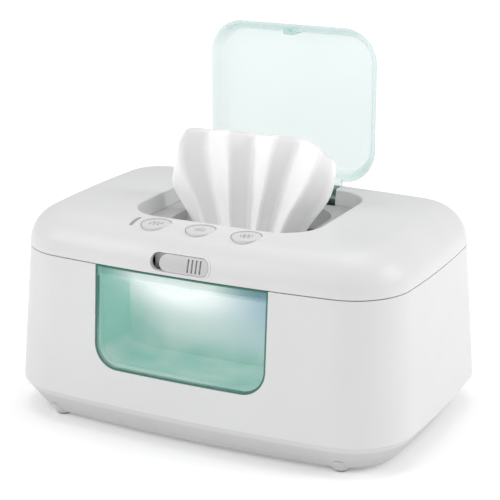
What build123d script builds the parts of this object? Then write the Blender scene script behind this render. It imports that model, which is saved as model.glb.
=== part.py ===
"""Baby wipe warmer: heated tub in a bowed two-part case, with a see-through flip lid.

Millimetres. X runs along the length, -Y is the front, +Z is up. The origin is on the
resting surface, under the middle of the case. The cover is closed, the flip lid stands open.
"""
from build123d import *
from math import cos, radians, sin
import os

# ---- driving dimensions: the case ----
PAN_BOTTOM = 3.0            # underside of the grey base pan
CASE_SEAM = 20.0            # joint between base pan and housing
COVER_SEAM = 104.0          # joint between housing and cover
CASE_TOP = 128.0            # flat top of the cover
LONG_BOW = 7.3              # how far the front and back bulge between the corners
END_BOW = 4.4               # how far the two ends bulge
FOOT_HALF_LENGTH = 126.0    # outline at the case seam, where the case is widest
FOOT_HALF_WIDTH = 81.7
FOOT_CORNER = 39.0
HOUSING_TAPER = 6.0         # housing drawn in on every side, from the case seam to the cover seam
SEAM_CORNER = 36.0
PAN_END_TAPER = 12.3        # pan drawn in from the case seam to its underside, at the ends
PAN_SIDE_TAPER = 10.2       # and at the front and back
BOTTOM_CORNER = 30.0
COVER_ROLL = 23.0           # radius of the cover's rounded top edge
WALL = 2.5                  # wall of pan, housing and cover
PAN_FLOOR = 3.0             # floor of the pan
SEAM_GAP = 0.6              # shadow gap under the cover
FIT_GAP = 0.3               # running clearance between pieces
SEAT_GAP = 0.1              # clearance between pieces fixed to each other
LIP_HEIGHT = 2.4            # tongue of the pan inside the housing
LIP_WALL = 1.6

# ---- driving dimensions: feet and fasteners ----
FOOT_END_INSET = 20.7       # middle of a foot from the outline of the underside
FOOT_SIDE_INSET = 2.5
LEG_TOP_RADIUS = 8.5
LEG_BOTTOM_RADIUS = 5.0
LEG_RISE = 5.0              # leg height above the pan's underside
LEG_BOTTOM = 1.2            # end of the moulded leg, where the rubber pad starts
PAD_RADIUS = 4.4
PAD_RECESS = 1.0
PAD_CHAMFER = 0.5
SCREW_RADIUS = 1.5
SCREW_HEAD_RADIUS = 2.8
SCREW_HEAD_HEIGHT = 1.8
SCREW_SLOT_LENGTH = 3.4
SCREW_SLOT_WIDTH = 0.8
SCREW_SLOT_DEPTH = 0.9
BOSS_RADIUS = 4.2
BASE_SCREW_END_INSET = 17.0  # base screws from the walls of the well above
BASE_SCREW_SIDE_INSET = 11.8
BASE_SCREW_REACH = 4.5      # thread engagement in the tub's boss

# ---- driving dimensions: tub, wipes and heater ----
TUB_END_GAP = 17.0          # inside of the well from the outline at the cover seam
TUB_FRONT_GAP = 38.1
TUB_BACK_GAP = 9.7
TUB_CORNER = 12.0
TUB_WALL = 2.0
TUB_FLOOR_TOP = 28.0
FLANGE_TOP = 101.0
FLANGE_THICKNESS = 2.5
LEDGE_WIDTH = 4.0           # shelf inside the housing that carries the flange
LEDGE_THICKNESS = 3.0
STACK_CLEARANCE = 4.0       # between the wipes and the walls of the well
STACK_TOP = 91.5
STACK_CORNER = 5.0
PLATE_HALF_LENGTH = 72.0
PLATE_MARGIN = 14.0         # heater plate to the front and back of the well
PLATE_THICKNESS = 1.6
PLATE_CORNER = 6.0
FILM_MARGIN = 4.0
FILM_THICKNESS = 0.6
INSULATION_THICKNESS = 4.0
THERMOSTAT_RADIUS = 7.0
THERMOSTAT_HEIGHT = 6.0
THERMOSTAT_X = -20.0
FUSE_LENGTH = 12.0
FUSE_RADIUS = 1.9
FUSE_X = 22.0

# ---- driving dimensions: window, light box and night light ----
WINDOW_X = -3.2             # middle of the window, light box and night light
WINDOW_HALF_WIDTH = 56.0
WINDOW_BOTTOM = 42.0
WINDOW_CORNER = 15.0
WINDOW_SINK = 0.5           # face of the pane behind the face of the housing
PANE_THICKNESS = 2.2
LIGHT_BOX_OVERLAP = 2.4     # light box beyond the edge of the pane
LIGHT_BOX_WALL = 1.6
SIGHT_MARGIN = 7.0          # sight opening of the tub inside the light box
LED_BOARD_HALF_LENGTH = 30.0
LED_BOARD_DEPTH = 12.0
LED_BOARD_GAP = 11.7        # middle of the board from the outline at the cover seam
BOARD_THICKNESS = 1.6
LED_COUNT = 4
LED_PITCH = 15.0
LED_RADIUS = 2.5
LED_HEIGHT = 2.0

# ---- driving dimensions: power inlet ----
INLET_SHIFT = 10.0          # jack to the right of the middle of its board
INLET_SIZE = 10.0           # square body of the jack
INLET_BORE_RADIUS = 2.9
INLET_BORE_DEPTH = 9.0
INLET_PIN_RADIUS = 1.0
INLET_NOSE_RADIUS = 4.6
INLET_RECESS = 1.5          # jack face behind the face of the pan
POWER_BOARD_LENGTH = 58.0
POWER_BOARD_END_INSET = 76.0  # middle of the board from the outline at the case seam
POWER_BOARD_GAP = 6.7       # back edge of the board from the outline at the case seam
POWER_BOARD_WIDTH = 40.0
STANDOFF_HEIGHT = 1.6
STANDOFF_RADIUS = 3.0
BOARD_SCREW_INSET = 5.0
BOARD_SCREW_REACH = 3.0
CAPACITOR_RADIUS = 4.0
CAPACITOR_HEIGHT = 7.0
CABLE_RADIUS = 1.2
CABLE_BEND = 4.0
CABLE_SIDE_GAP = 6.0        # cable from the right end of the tub
CABLE_SIDE_Y = 40.0
LIGHT_CABLE_DROP = 5.5      # cable to the night light below the flange

# ---- driving dimensions: recess, throat and flip lid ----
RECESS_HALF_LENGTH = 60.0   # rim of the recess in the flat top
RECESS_FRONT_INSET = 26.7   # rim of the recess from the outline at the cover seam
RECESS_BACK_INSET = 21.7
RECESS_CORNER = 25.0
RECESS_SLOPE = 2.0          # inward draft of the recess wall
RECESS_WALL = 2.2
RECESS_RIM_ROUND = 1.2
RECESS_FLOOR = 118.0
RECESS_FLOOR_THICKNESS = 2.5
THROAT_END_INSET = 15.5     # dispensing opening from the rim of the recess
THROAT_FRONT_INSET = 12.0
THROAT_BACK_INSET = 10.0
THROAT_CORNER = 26.0
THROAT_WALL = 2.0
LID_AXIS_INSET = 8.0        # lid axis behind the recess
LID_AXIS_Z = 119.5
LID_OPEN_ANGLE = 90.0       # travel between closed and resting open
LID_END_GAP = 3.0           # rim of the lid from the rim of the recess
LID_FRONT_GAP = 2.3
LID_BACK_GAP = 3.5
LID_CORNER = 22.0
LID_DRAW_IN = 4.6           # top of the lid inside its rim, on every side
LID_HEIGHT = 11.0
LID_WALL = 1.8
LID_ROUND = 5.0
LID_ARM_X = 30.0
LID_ARM_WIDTH = 8.0
LID_ARM_THICKNESS = 3.7
LID_KNUCKLE_RADIUS = 3.4
LID_ARM_SLOT_BITE = 1.1     # arm slot into the recess floor
LID_PIN_RADIUS = 1.5
PIN_CLEARANCE = 0.05        # running fit of every hinge pin
LID_PIN_HALF_LENGTH = 40.0
LID_BEARING_WIDTH = 4.0
LID_SPRING_HALF_LENGTH = 12.0
LID_SPRING_WIRE = 0.7
TAB_HALF_WIDTH = 3.5
TAB_INSET = 3.8             # front of the tab from the rim of the lid
TAB_THICKNESS = 2.0
TAB_REACH = 6.2             # below the rim of the lid
TAB_LIP = 2.0
TAB_LIP_HEIGHT = 1.5

# ---- driving dimensions: lid release, buttons and control board ----
BUTTON_PITCH = 29.4
BUTTON_INSET = 14.4         # middle of the buttons from the outline at the cover seam
BUTTON_RADIUS = 8.8
BUTTON_FLANGE_TOP = 121.6   # retaining rim, under the lowest part of the cover there
BUTTON_FLANGE = 1.2         # how far the rim stands out
BUTTON_FLANGE_HEIGHT = 1.2
BUTTON_SINK = 0.4           # level face of a button below the flat of the cover
BUTTON_ROUND = 0.6
BUTTON_TRAVEL = 0.8
RELEASE_TRAVEL = 1.5
STEM_RADIUS = 2.0
CATCH_HALF_WIDTH = 4.0
CATCH_THICKNESS = 3.5
CATCH_BITE = 1.2            # catch over the lip of the lid's tab
CATCH_REACH = 7.5           # catch in front of the middle of the release button
WEDGE_HALF_WIDTH = 2.2
WEDGE_DEPTH = 4.0
WEDGE_RISE = 1.3            # top of the wedge's slope above the catch
WEDGE_TIP = 0.6
CATCH_SPRING_RADIUS = 2.2
CATCH_SPRING_X = 8.0
CATCH_SPRING_WIRE = 0.5
LUG_THICKNESS = 1.5
GUIDE_GAP = 6.0             # catch guide behind the middle of the release button
GUIDE_DEPTH = 7.2
GUIDE_TOP = 117.0
GUIDE_WALL = 2.0
POST_GAP = 0.6              # spring post and catch rest behind the front end of the catch
POST_THICKNESS = 2.0
CONTROL_HALF_LENGTH = 53.0
CONTROL_FRONT_REACH = 9.5   # control board in front of the middle of the buttons
CONTROL_BACK_REACH = 9.5
CONTROL_BOARD_TOP = 109.0
SWITCH_SIZE = 6.0
SWITCH_HEIGHT = 4.0
SWITCH_PLUNGER_RADIUS = 1.7
SWITCH_PLUNGER_HEIGHT = 1.2
CONTROL_SCREW_X = 49.0
CONTROL_SCREW_INSET = 3.5   # screws from the back edge of the board
CONTROL_POST_RADIUS = 3.0
CONTROL_SCREW_REACH = 5.0
NOTCH_MARGIN = 1.0          # board clear of the liner's posts
INDICATOR_LENGTH = 12.0     # slim lens of the indicator, from front to back
INDICATOR_WIDTH = 2.4
INDICATOR_PIN_RADIUS = 1.0
INDICATOR_OFFSET = 13.7     # lens to the left of the left button
INDICATOR_SHIFT = 0.5       # lens in front of the middle of the buttons

# ---- driving dimensions: liner, seal and cover latch ----
LINER_THICKNESS = 2.0
LINER_BOTTOM = 103.3
LINER_SCREW_END_INSET = 36.0
LINER_SCREW_SIDE_INSET = 25.7
LINER_SCREW_REACH = 8.0
LINER_GAP = 0.9             # liner to the cover's wall, to swing clear of the housing
SEAL_WIDTH = 3.0
SEAL_MARGIN = 1.5           # seal outside the well
LATCH_X = -3.0              # middle of the latch slot
LATCH_Z = 111.9
LATCH_SLOT_LENGTH = 37.6
LATCH_SLOT_HEIGHT = 10.4
LATCH_TRAVEL = 6.0
LATCH_PROUD = 0.5
LATCH_RIM = 1.2             # raised rim round the latch slot
LATCH_RIM_PROUD = 0.4
LATCH_RIB_COUNT = 4
LATCH_RIB_PITCH = 2.6
LATCH_RIB_WIDTH = 1.1
LATCH_RIB_DEPTH = 0.5
LATCH_RIB_X = 6.7           # middle of the ribs from the middle of the knob
LATCH_PLATE_INSET = 0.7     # front of the slide plate from the outline at the cover seam
LATCH_PLATE_THICKNESS = 2.0
LATCH_PLATE_MARGIN = 1.0    # plate behind the wall, beyond the slot
HOOK_WIDTH = 5.0
HOOK_REACH = 5.0
HOOK_THICKNESS = 2.5

# ---- driving dimensions: cover hinge ----
HINGE_Z = 104.0
HINGE_X = 62.0
HINGE_RADIUS = 3.4
HINGE_STANDOUT = 2.6        # axis behind the back of the cover
HINGE_PIN_RADIUS = 1.5
HINGE_COVER_WIDTH = 11.4
HINGE_CASE_WIDTH = 8.0
HINGE_LUG_DEPTH = 6.2       # lug from the axis into the case wall
HINGE_LUG_HEIGHT = 4.5

# ---- driving dimensions: pulled wipe ----
WIPE_THICKNESS = 13.0
WIPE_MIDDLE = 0.0
WIPE_FOOT_HALF_WIDTH = 26.0
WIPE_WAIST_HALF_WIDTH = 31.0
WIPE_LEFT = -52.0
WIPE_RIGHT = 57.0
WIPE_WIDEST = 150.0
WIPE_TOP_LEFT = -40.0
WIPE_TOP_RIGHT = 36.0
WIPE_TOP = 172.0

# ---- derived places ----
SCREW_HOLE_RADIUS = SCREW_RADIUS + PIN_CLEARANCE
FLANGE_INSET = WINDOW_SINK + PANE_THICKNESS + SEAT_GAP
FRONT_REACH = 2 * FOOT_HALF_WIDTH
COVER_BOTTOM = COVER_SEAM + SEAM_GAP
SEAM_HALF_LENGTH = FOOT_HALF_LENGTH - HOUSING_TAPER
SEAM_HALF_WIDTH = FOOT_HALF_WIDTH - HOUSING_TAPER
BOTTOM_HALF_LENGTH = FOOT_HALF_LENGTH - PAN_END_TAPER
BOTTOM_HALF_WIDTH = FOOT_HALF_WIDTH - PAN_SIDE_TAPER
FOOT_X = BOTTOM_HALF_LENGTH - FOOT_END_INSET
FOOT_Y = BOTTOM_HALF_WIDTH - FOOT_SIDE_INSET
TUB_HALF_LENGTH = SEAM_HALF_LENGTH - TUB_END_GAP
TUB_FRONT = TUB_FRONT_GAP - SEAM_HALF_WIDTH
TUB_BACK = SEAM_HALF_WIDTH - TUB_BACK_GAP
BASE_SCREW_X = TUB_HALF_LENGTH - BASE_SCREW_END_INSET
BASE_SCREW_FRONT = TUB_FRONT + BASE_SCREW_SIDE_INSET
BASE_SCREW_BACK = TUB_BACK - BASE_SCREW_SIDE_INSET
RECESS_FRONT = RECESS_FRONT_INSET - SEAM_HALF_WIDTH
RECESS_BACK = SEAM_HALF_WIDTH - RECESS_BACK_INSET
THROAT_HALF_LENGTH = RECESS_HALF_LENGTH - THROAT_END_INSET
THROAT_FRONT = RECESS_FRONT + THROAT_FRONT_INSET
THROAT_BACK = RECESS_BACK - THROAT_BACK_INSET
LID_AXIS_Y = RECESS_BACK + LID_AXIS_INSET
LID_HALF_LENGTH = RECESS_HALF_LENGTH - LID_END_GAP
LID_FRONT = RECESS_FRONT + LID_FRONT_GAP
LID_BACK = RECESS_BACK - LID_BACK_GAP
TAB_FRONT = LID_FRONT + TAB_INSET
LED_BOARD_MIDDLE = LED_BOARD_GAP - SEAM_HALF_WIDTH
POWER_BOARD_X = FOOT_HALF_LENGTH - POWER_BOARD_END_INSET
INLET_X = POWER_BOARD_X + INLET_SHIFT
POWER_BOARD_BACK = FOOT_HALF_WIDTH - POWER_BOARD_GAP
CABLE_SIDE_X = TUB_HALF_LENGTH + TUB_WALL + CABLE_SIDE_GAP
BUTTON_Y = BUTTON_INSET - SEAM_HALF_WIDTH
INDICATOR_Y = BUTTON_Y - INDICATOR_SHIFT
CATCH_BACK = BUTTON_Y - CATCH_REACH
GUIDE_FRONT = BUTTON_Y + GUIDE_GAP
GUIDE_BACK = GUIDE_FRONT + GUIDE_DEPTH
POST_FRONT = CATCH_BACK + POST_GAP
CONTROL_FRONT = BUTTON_Y - CONTROL_FRONT_REACH
CONTROL_BACK = BUTTON_Y + CONTROL_BACK_REACH
CONTROL_SCREW_Y = CONTROL_BACK - CONTROL_SCREW_INSET
LINER_SCREW_X = SEAM_HALF_LENGTH - LINER_SCREW_END_INSET
LINER_SCREW_Y = SEAM_HALF_WIDTH - LINER_SCREW_SIDE_INSET
LATCH_PLATE_FRONT = LATCH_PLATE_INSET - SEAM_HALF_WIDTH
HINGE_Y = SEAM_HALF_WIDTH + LONG_BOW + HINGE_STANDOUT
PAN_FLOOR_TOP = PAN_BOTTOM + PAN_FLOOR
FLANGE_BOTTOM = FLANGE_TOP - FLANGE_THICKNESS
TUB_FLOOR_BOTTOM = TUB_FLOOR_TOP - TUB_WALL
TUB_MIDDLE = (TUB_FRONT + TUB_BACK) / 2
PLATE_BOTTOM = TUB_FLOOR_BOTTOM - PLATE_THICKNESS
FILM_BOTTOM = PLATE_BOTTOM - FILM_THICKNESS
LIGHT_BOX_BACK = TUB_FRONT - TUB_WALL - SEAT_GAP
LIGHT_BOX_HALF_WIDTH = WINDOW_HALF_WIDTH + LIGHT_BOX_OVERLAP
LIGHT_BOX_END = WINDOW_X + LIGHT_BOX_HALF_WIDTH
LED_BOARD_BOTTOM = FLANGE_BOTTOM - BOARD_THICKNESS
LINER_TOP = LINER_BOTTOM + LINER_THICKNESS
WIPE_FOOT = STACK_TOP + FIT_GAP
INNER_TOP = CASE_TOP - WALL
RECESS_UNDERSIDE = RECESS_FLOOR - RECESS_FLOOR_THICKNESS
CATCH_TOP = RECESS_UNDERSIDE - FIT_GAP
CATCH_BOTTOM = CATCH_TOP - CATCH_THICKNESS
LID_RIM = RECESS_FLOOR + FIT_GAP
TAB_BOTTOM = LID_RIM - TAB_REACH
TAB_LIP_TOP = TAB_BOTTOM + TAB_LIP_HEIGHT
TAB_BACK = TAB_FRONT + TAB_THICKNESS
CATCH_NOSE = TAB_FRONT - TAB_LIP + CATCH_BITE
CONTROL_BOARD_BOTTOM = CONTROL_BOARD_TOP - BOARD_THICKNESS
KNOB_LENGTH = LATCH_SLOT_LENGTH - LATCH_TRAVEL - FIT_GAP
KNOB_X = LATCH_X + LATCH_TRAVEL / 2
KNOB_HEIGHT = LATCH_SLOT_HEIGHT - 2 * FIT_GAP
HOOK_TOP = FLANGE_BOTTOM - FIT_GAP
HOOK_X = KNOB_X
BASE_SCREWS = [(x, y) for x in (-BASE_SCREW_X, BASE_SCREW_X) for y in (BASE_SCREW_FRONT, BASE_SCREW_BACK)]
LINER_SCREWS = [(x, y) for x in (-LINER_SCREW_X, LINER_SCREW_X) for y in (-LINER_SCREW_Y, LINER_SCREW_Y)]
CONTROL_SCREWS = [(-CONTROL_SCREW_X, CONTROL_SCREW_Y), (CONTROL_SCREW_X, CONTROL_SCREW_Y)]
FEET = [(x, y) for x in (-FOOT_X, FOOT_X) for y in (-FOOT_Y, FOOT_Y)]
BUTTONS = (-BUTTON_PITCH, 0.0, BUTTON_PITCH)
CASE_KNUCKLE_OFFSET = HINGE_COVER_WIDTH / 2 + FIT_GAP + HINGE_CASE_WIDTH / 2
SIGHT_BOTTOM = WINDOW_BOTTOM + SIGHT_MARGIN
SIGHT_TOP = FLANGE_BOTTOM - SIGHT_MARGIN
HOOK_Y = LATCH_PLATE_FRONT + LATCH_PLATE_THICKNESS / 2
HOOK_SLOT_LENGTH = HOOK_WIDTH + LATCH_TRAVEL + 2 * FIT_GAP
HOOK_SLOT_X = HOOK_X - LATCH_TRAVEL / 2
POWER_BOARD_TOP = PAN_FLOOR_TOP + STANDOFF_HEIGHT + BOARD_THICKNESS
POWER_BOARD_MIDDLE = POWER_BOARD_BACK - POWER_BOARD_WIDTH / 2
BOARD_SCREWS = [(POWER_BOARD_X + side * (POWER_BOARD_LENGTH / 2 - BOARD_SCREW_INSET),
                 POWER_BOARD_BACK - POWER_BOARD_WIDTH + BOARD_SCREW_INSET) for side in (-1, 1)]
INLET_Z = POWER_BOARD_TOP + INLET_SIZE / 2
INLET_SHARE = (INLET_Z - PAN_BOTTOM) / (CASE_SEAM - PAN_BOTTOM)
INLET_FACE = (BOTTOM_HALF_WIDTH + (FOOT_HALF_WIDTH - BOTTOM_HALF_WIDTH) * INLET_SHARE
              + LONG_BOW * (1 - (INLET_X / FOOT_HALF_LENGTH) ** 2) - INLET_RECESS)
LIGHT_CABLE_Z = FLANGE_BOTTOM - LIGHT_CABLE_DROP
LID_BEARING_OFFSET = LID_ARM_WIDTH / 2 + FIT_GAP + LID_BEARING_WIDTH / 2
LID_SLOT_FRONT = RECESS_BACK - RECESS_SLOPE - LID_ARM_SLOT_BITE
LID_SLOT_BACK = LID_AXIS_Y + LID_KNUCKLE_RADIUS + 2 * FIT_GAP
INDICATOR_X = -BUTTON_PITCH - INDICATOR_OFFSET
BUTTON_TOP = CASE_TOP - BUTTON_SINK
BUTTON_STEM_BOTTOM = CONTROL_BOARD_TOP + SWITCH_HEIGHT + SWITCH_PLUNGER_HEIGHT + BUTTON_TRAVEL + SEAT_GAP
LATCH_PLATE_TOP = LATCH_Z + LATCH_SLOT_HEIGHT / 2 + LATCH_PLATE_MARGIN
LATCH_PLATE_LENGTH = KNOB_LENGTH + LATCH_TRAVEL + LATCH_PLATE_MARGIN
LATCH_PLATE_X = KNOB_X - (LATCH_TRAVEL + LATCH_PLATE_MARGIN) / 2
LATCH_GROOVE_Y = LONG_BOW - LATCH_RIB_DEPTH
LUG_REACH = CATCH_SPRING_X + CATCH_SPRING_RADIUS
LUG_BACK = GUIDE_FRONT - LUG_THICKNESS / 2
WEDGE_FRONT = BUTTON_Y - WEDGE_DEPTH / 2
WEDGE_BACK = BUTTON_Y + WEDGE_DEPTH / 2
WEDGE_SHOULDER = CATCH_TOP + WEDGE_RISE
WEDGE_PROFILE = [
    (WEDGE_FRONT, BUTTON_FLANGE_TOP), (WEDGE_FRONT, WEDGE_SHOULDER),
    (WEDGE_BACK - WEDGE_TIP, WEDGE_SHOULDER - WEDGE_DEPTH + WEDGE_TIP),
    (WEDGE_BACK, WEDGE_SHOULDER - WEDGE_DEPTH + WEDGE_TIP), (WEDGE_BACK, BUTTON_FLANGE_TOP),
]
CATCH_SLOPE_TOP = WEDGE_FRONT + WEDGE_RISE - FIT_GAP * 2 ** 0.5
CATCH_WINDOW_BACK = WEDGE_BACK + RELEASE_TRAVEL + 2 * FIT_GAP
CATCH_WINDOW_PROFILE = [
    (CATCH_SLOPE_TOP, CATCH_TOP), (CATCH_SLOPE_TOP + CATCH_THICKNESS, CATCH_BOTTOM),
    (CATCH_WINDOW_BACK, CATCH_BOTTOM), (CATCH_WINDOW_BACK, CATCH_TOP),
]
CATCH_STEP = TAB_FRONT - TAB_LIP - FIT_GAP
CATCH_NOSE_BOTTOM = TAB_LIP_TOP + FIT_GAP
CATCH_PROFILE = [
    (CATCH_BACK, CATCH_BOTTOM), (CATCH_STEP, CATCH_BOTTOM), (CATCH_STEP, CATCH_NOSE_BOTTOM),
    (CATCH_NOSE, CATCH_NOSE_BOTTOM), (CATCH_STEP, CATCH_TOP), (CATCH_BACK, CATCH_TOP),
]
TAB_ROOT = LID_RIM + LID_HEIGHT - LID_WALL / 2
TAB_PROFILE = [
    (y - LID_AXIS_Y, z - LID_AXIS_Z) for y, z in (
        (TAB_FRONT - TAB_LIP, TAB_BOTTOM), (TAB_BACK, TAB_BOTTOM), (TAB_BACK, TAB_ROOT),
        (TAB_FRONT, TAB_ROOT), (TAB_FRONT, TAB_LIP_TOP), (TAB_FRONT - TAB_LIP, TAB_LIP_TOP))
]
CONTROL_CABLE_Z = CONTROL_BOARD_TOP + CABLE_RADIUS
CONTROL_CABLE_X = -THROAT_HALF_LENGTH - THROAT_WALL - CABLE_BEND
CONTROL_CABLE = [
    (-BUTTON_PITCH, CONTROL_BACK - CABLE_BEND, CONTROL_CABLE_Z),
    (-BUTTON_PITCH, CONTROL_BACK + CABLE_BEND, CONTROL_CABLE_Z),
    (CONTROL_CABLE_X, CONTROL_BACK + 2 * CABLE_BEND, CONTROL_CABLE_Z),
    (CONTROL_CABLE_X, LID_AXIS_Y, CONTROL_CABLE_Z),
    (-HINGE_X, LID_AXIS_Y + 3 * CABLE_BEND, CONTROL_CABLE_Z),
]
LIGHT_CABLE = [
    (POWER_BOARD_X + 3 * CAPACITOR_RADIUS, POWER_BOARD_MIDDLE - CAPACITOR_RADIUS, POWER_BOARD_TOP),
    (POWER_BOARD_X + 3 * CAPACITOR_RADIUS, POWER_BOARD_MIDDLE - CAPACITOR_RADIUS, CASE_SEAM - CABLE_BEND),
    (CABLE_SIDE_X, CABLE_SIDE_Y, CASE_SEAM),
    (CABLE_SIDE_X, CABLE_SIDE_Y, LIGHT_CABLE_Z),
    (CABLE_SIDE_X, LED_BOARD_MIDDLE, LIGHT_CABLE_Z),
    (LIGHT_BOX_END - CABLE_BEND, LED_BOARD_MIDDLE, LIGHT_CABLE_Z),
    (WINDOW_X + LED_BOARD_HALF_LENGTH, LED_BOARD_MIDDLE, LED_BOARD_BOTTOM - CABLE_RADIUS),
]
HEATER_CABLE = [
    (POWER_BOARD_X - CAPACITOR_RADIUS, POWER_BOARD_MIDDLE - 2 * CAPACITOR_RADIUS, POWER_BOARD_TOP),
    (POWER_BOARD_X - CAPACITOR_RADIUS, POWER_BOARD_MIDDLE - 2 * CAPACITOR_RADIUS, CASE_SEAM - CABLE_BEND),
    (THERMOSTAT_X + 2 * THERMOSTAT_RADIUS, TUB_MIDDLE, FILM_BOTTOM - THERMOSTAT_HEIGHT + CABLE_RADIUS),
    (THERMOSTAT_X + THERMOSTAT_RADIUS, TUB_MIDDLE, FILM_BOTTOM - THERMOSTAT_HEIGHT + CABLE_RADIUS),
]


def finish(builder, name):
    """Label a piece and write it as its own file."""
    builder.part.label = name
    export_step(builder.part, f"parts/{name}.step")


def bowed(half_length, half_width, corner, height, inset=0.0):
    """Rounded rectangle with four bowed sides, lying at a height."""
    a, b = half_length - inset, half_width - inset
    with BuildSketch(Plane.XY.offset(height)) as sketch:
        with BuildLine():
            ThreePointArc((-a, -b), (0, -b - LONG_BOW), (a, -b))
            ThreePointArc((a, -b), (a + END_BOW, 0), (a, b))
            ThreePointArc((a, b), (0, b + LONG_BOW), (-a, b))
            ThreePointArc((-a, b), (-a - END_BOW, 0), (-a, -b))
        make_face()
        fillet(sketch.vertices(), corner - inset)
    return sketch.sketch


def between(low, high, share):
    """Straight-line value between two sizes."""
    return low + (high - low) * share


def housing_outline(height, inset=0.0):
    """Outline of the housing wall at a height."""
    share = (height - CASE_SEAM) / (COVER_SEAM - CASE_SEAM)
    return bowed(between(FOOT_HALF_LENGTH, SEAM_HALF_LENGTH, share),
                 between(FOOT_HALF_WIDTH, SEAM_HALF_WIDTH, share),
                 between(FOOT_CORNER, SEAM_CORNER, share), height, inset)


def pan_outline(height, inset=0.0):
    """Outline of the base pan wall at a height."""
    share = (height - PAN_BOTTOM) / (CASE_SEAM - PAN_BOTTOM)
    return bowed(between(BOTTOM_HALF_LENGTH, FOOT_HALF_LENGTH, share),
                 between(BOTTOM_HALF_WIDTH, FOOT_HALF_WIDTH, share),
                 between(BOTTOM_CORNER, FOOT_CORNER, share), height, inset)


def housing_block(bottom, top, inset):
    """Solid that fills the housing between two heights, inset from its face."""
    with BuildPart() as block:
        loft([housing_outline(bottom, inset), housing_outline(top, inset)], ruled=True)
    return block.part


def cover_block(inset):
    """Solid that fills the cover, inset from its face, with the rolled top edge."""
    with BuildPart() as block:
        extrude(bowed(SEAM_HALF_LENGTH, SEAM_HALF_WIDTH, SEAM_CORNER, COVER_BOTTOM, inset),
                amount=CASE_TOP - inset - COVER_BOTTOM)
        fillet(block.edges().group_by(Axis.Z)[-1], COVER_ROLL - inset)
    return block.part


def rounded(half_length, front, back, corner, height):
    """Plain rounded rectangle at a height, from its front and back edges."""
    with BuildSketch(Plane.XY.offset(height)) as sketch:
        with Locations((0, (front + back) / 2)):
            RectangleRounded(2 * half_length, back - front, corner)
    return sketch.sketch


def window_outline(margin, plane):
    """U-shaped outline of the window, grown by a margin, open above the seam."""
    left, right = WINDOW_X - WINDOW_HALF_WIDTH - margin, WINDOW_X + WINDOW_HALF_WIDTH + margin
    bottom, top = WINDOW_BOTTOM - margin, COVER_SEAM + WALL
    with BuildSketch(plane) as sketch:
        with BuildLine():
            FilletPolyline((left, top), (left, bottom), (right, bottom), (right, top),
                           radius=WINDOW_CORNER + margin)
            Line((right, top), (left, top))
        make_face()
    return sketch.sketch


def front_plane(y):
    """Upright plane facing the front at a depth, with X to the right and Z up."""
    return Plane(origin=(0, y, 0), x_dir=(1, 0, 0), z_dir=(0, -1, 0))


def side_plane(x):
    """Upright plane facing the right end, with Y across and Z up."""
    return Plane(origin=(x, 0, 0), x_dir=(0, 1, 0), z_dir=(1, 0, 0))


def lid_plane(height):
    """Level of the closed lid, swung open about the lid's axis."""
    swing = radians(LID_OPEN_ANGLE)
    axis = Plane(origin=(0, LID_AXIS_Y, LID_AXIS_Z), x_dir=(1, 0, 0), z_dir=(0, sin(swing), cos(swing)))
    return axis.offset(height - LID_AXIS_Z)


def lid_side_plane(x):
    """Upright cut through the closed lid, swung open with it."""
    swing = radians(LID_OPEN_ANGLE)
    return Plane(origin=(x, LID_AXIS_Y, LID_AXIS_Z), x_dir=(0, cos(swing), -sin(swing)), z_dir=(1, 0, 0))


os.makedirs("parts", exist_ok=True)

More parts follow.
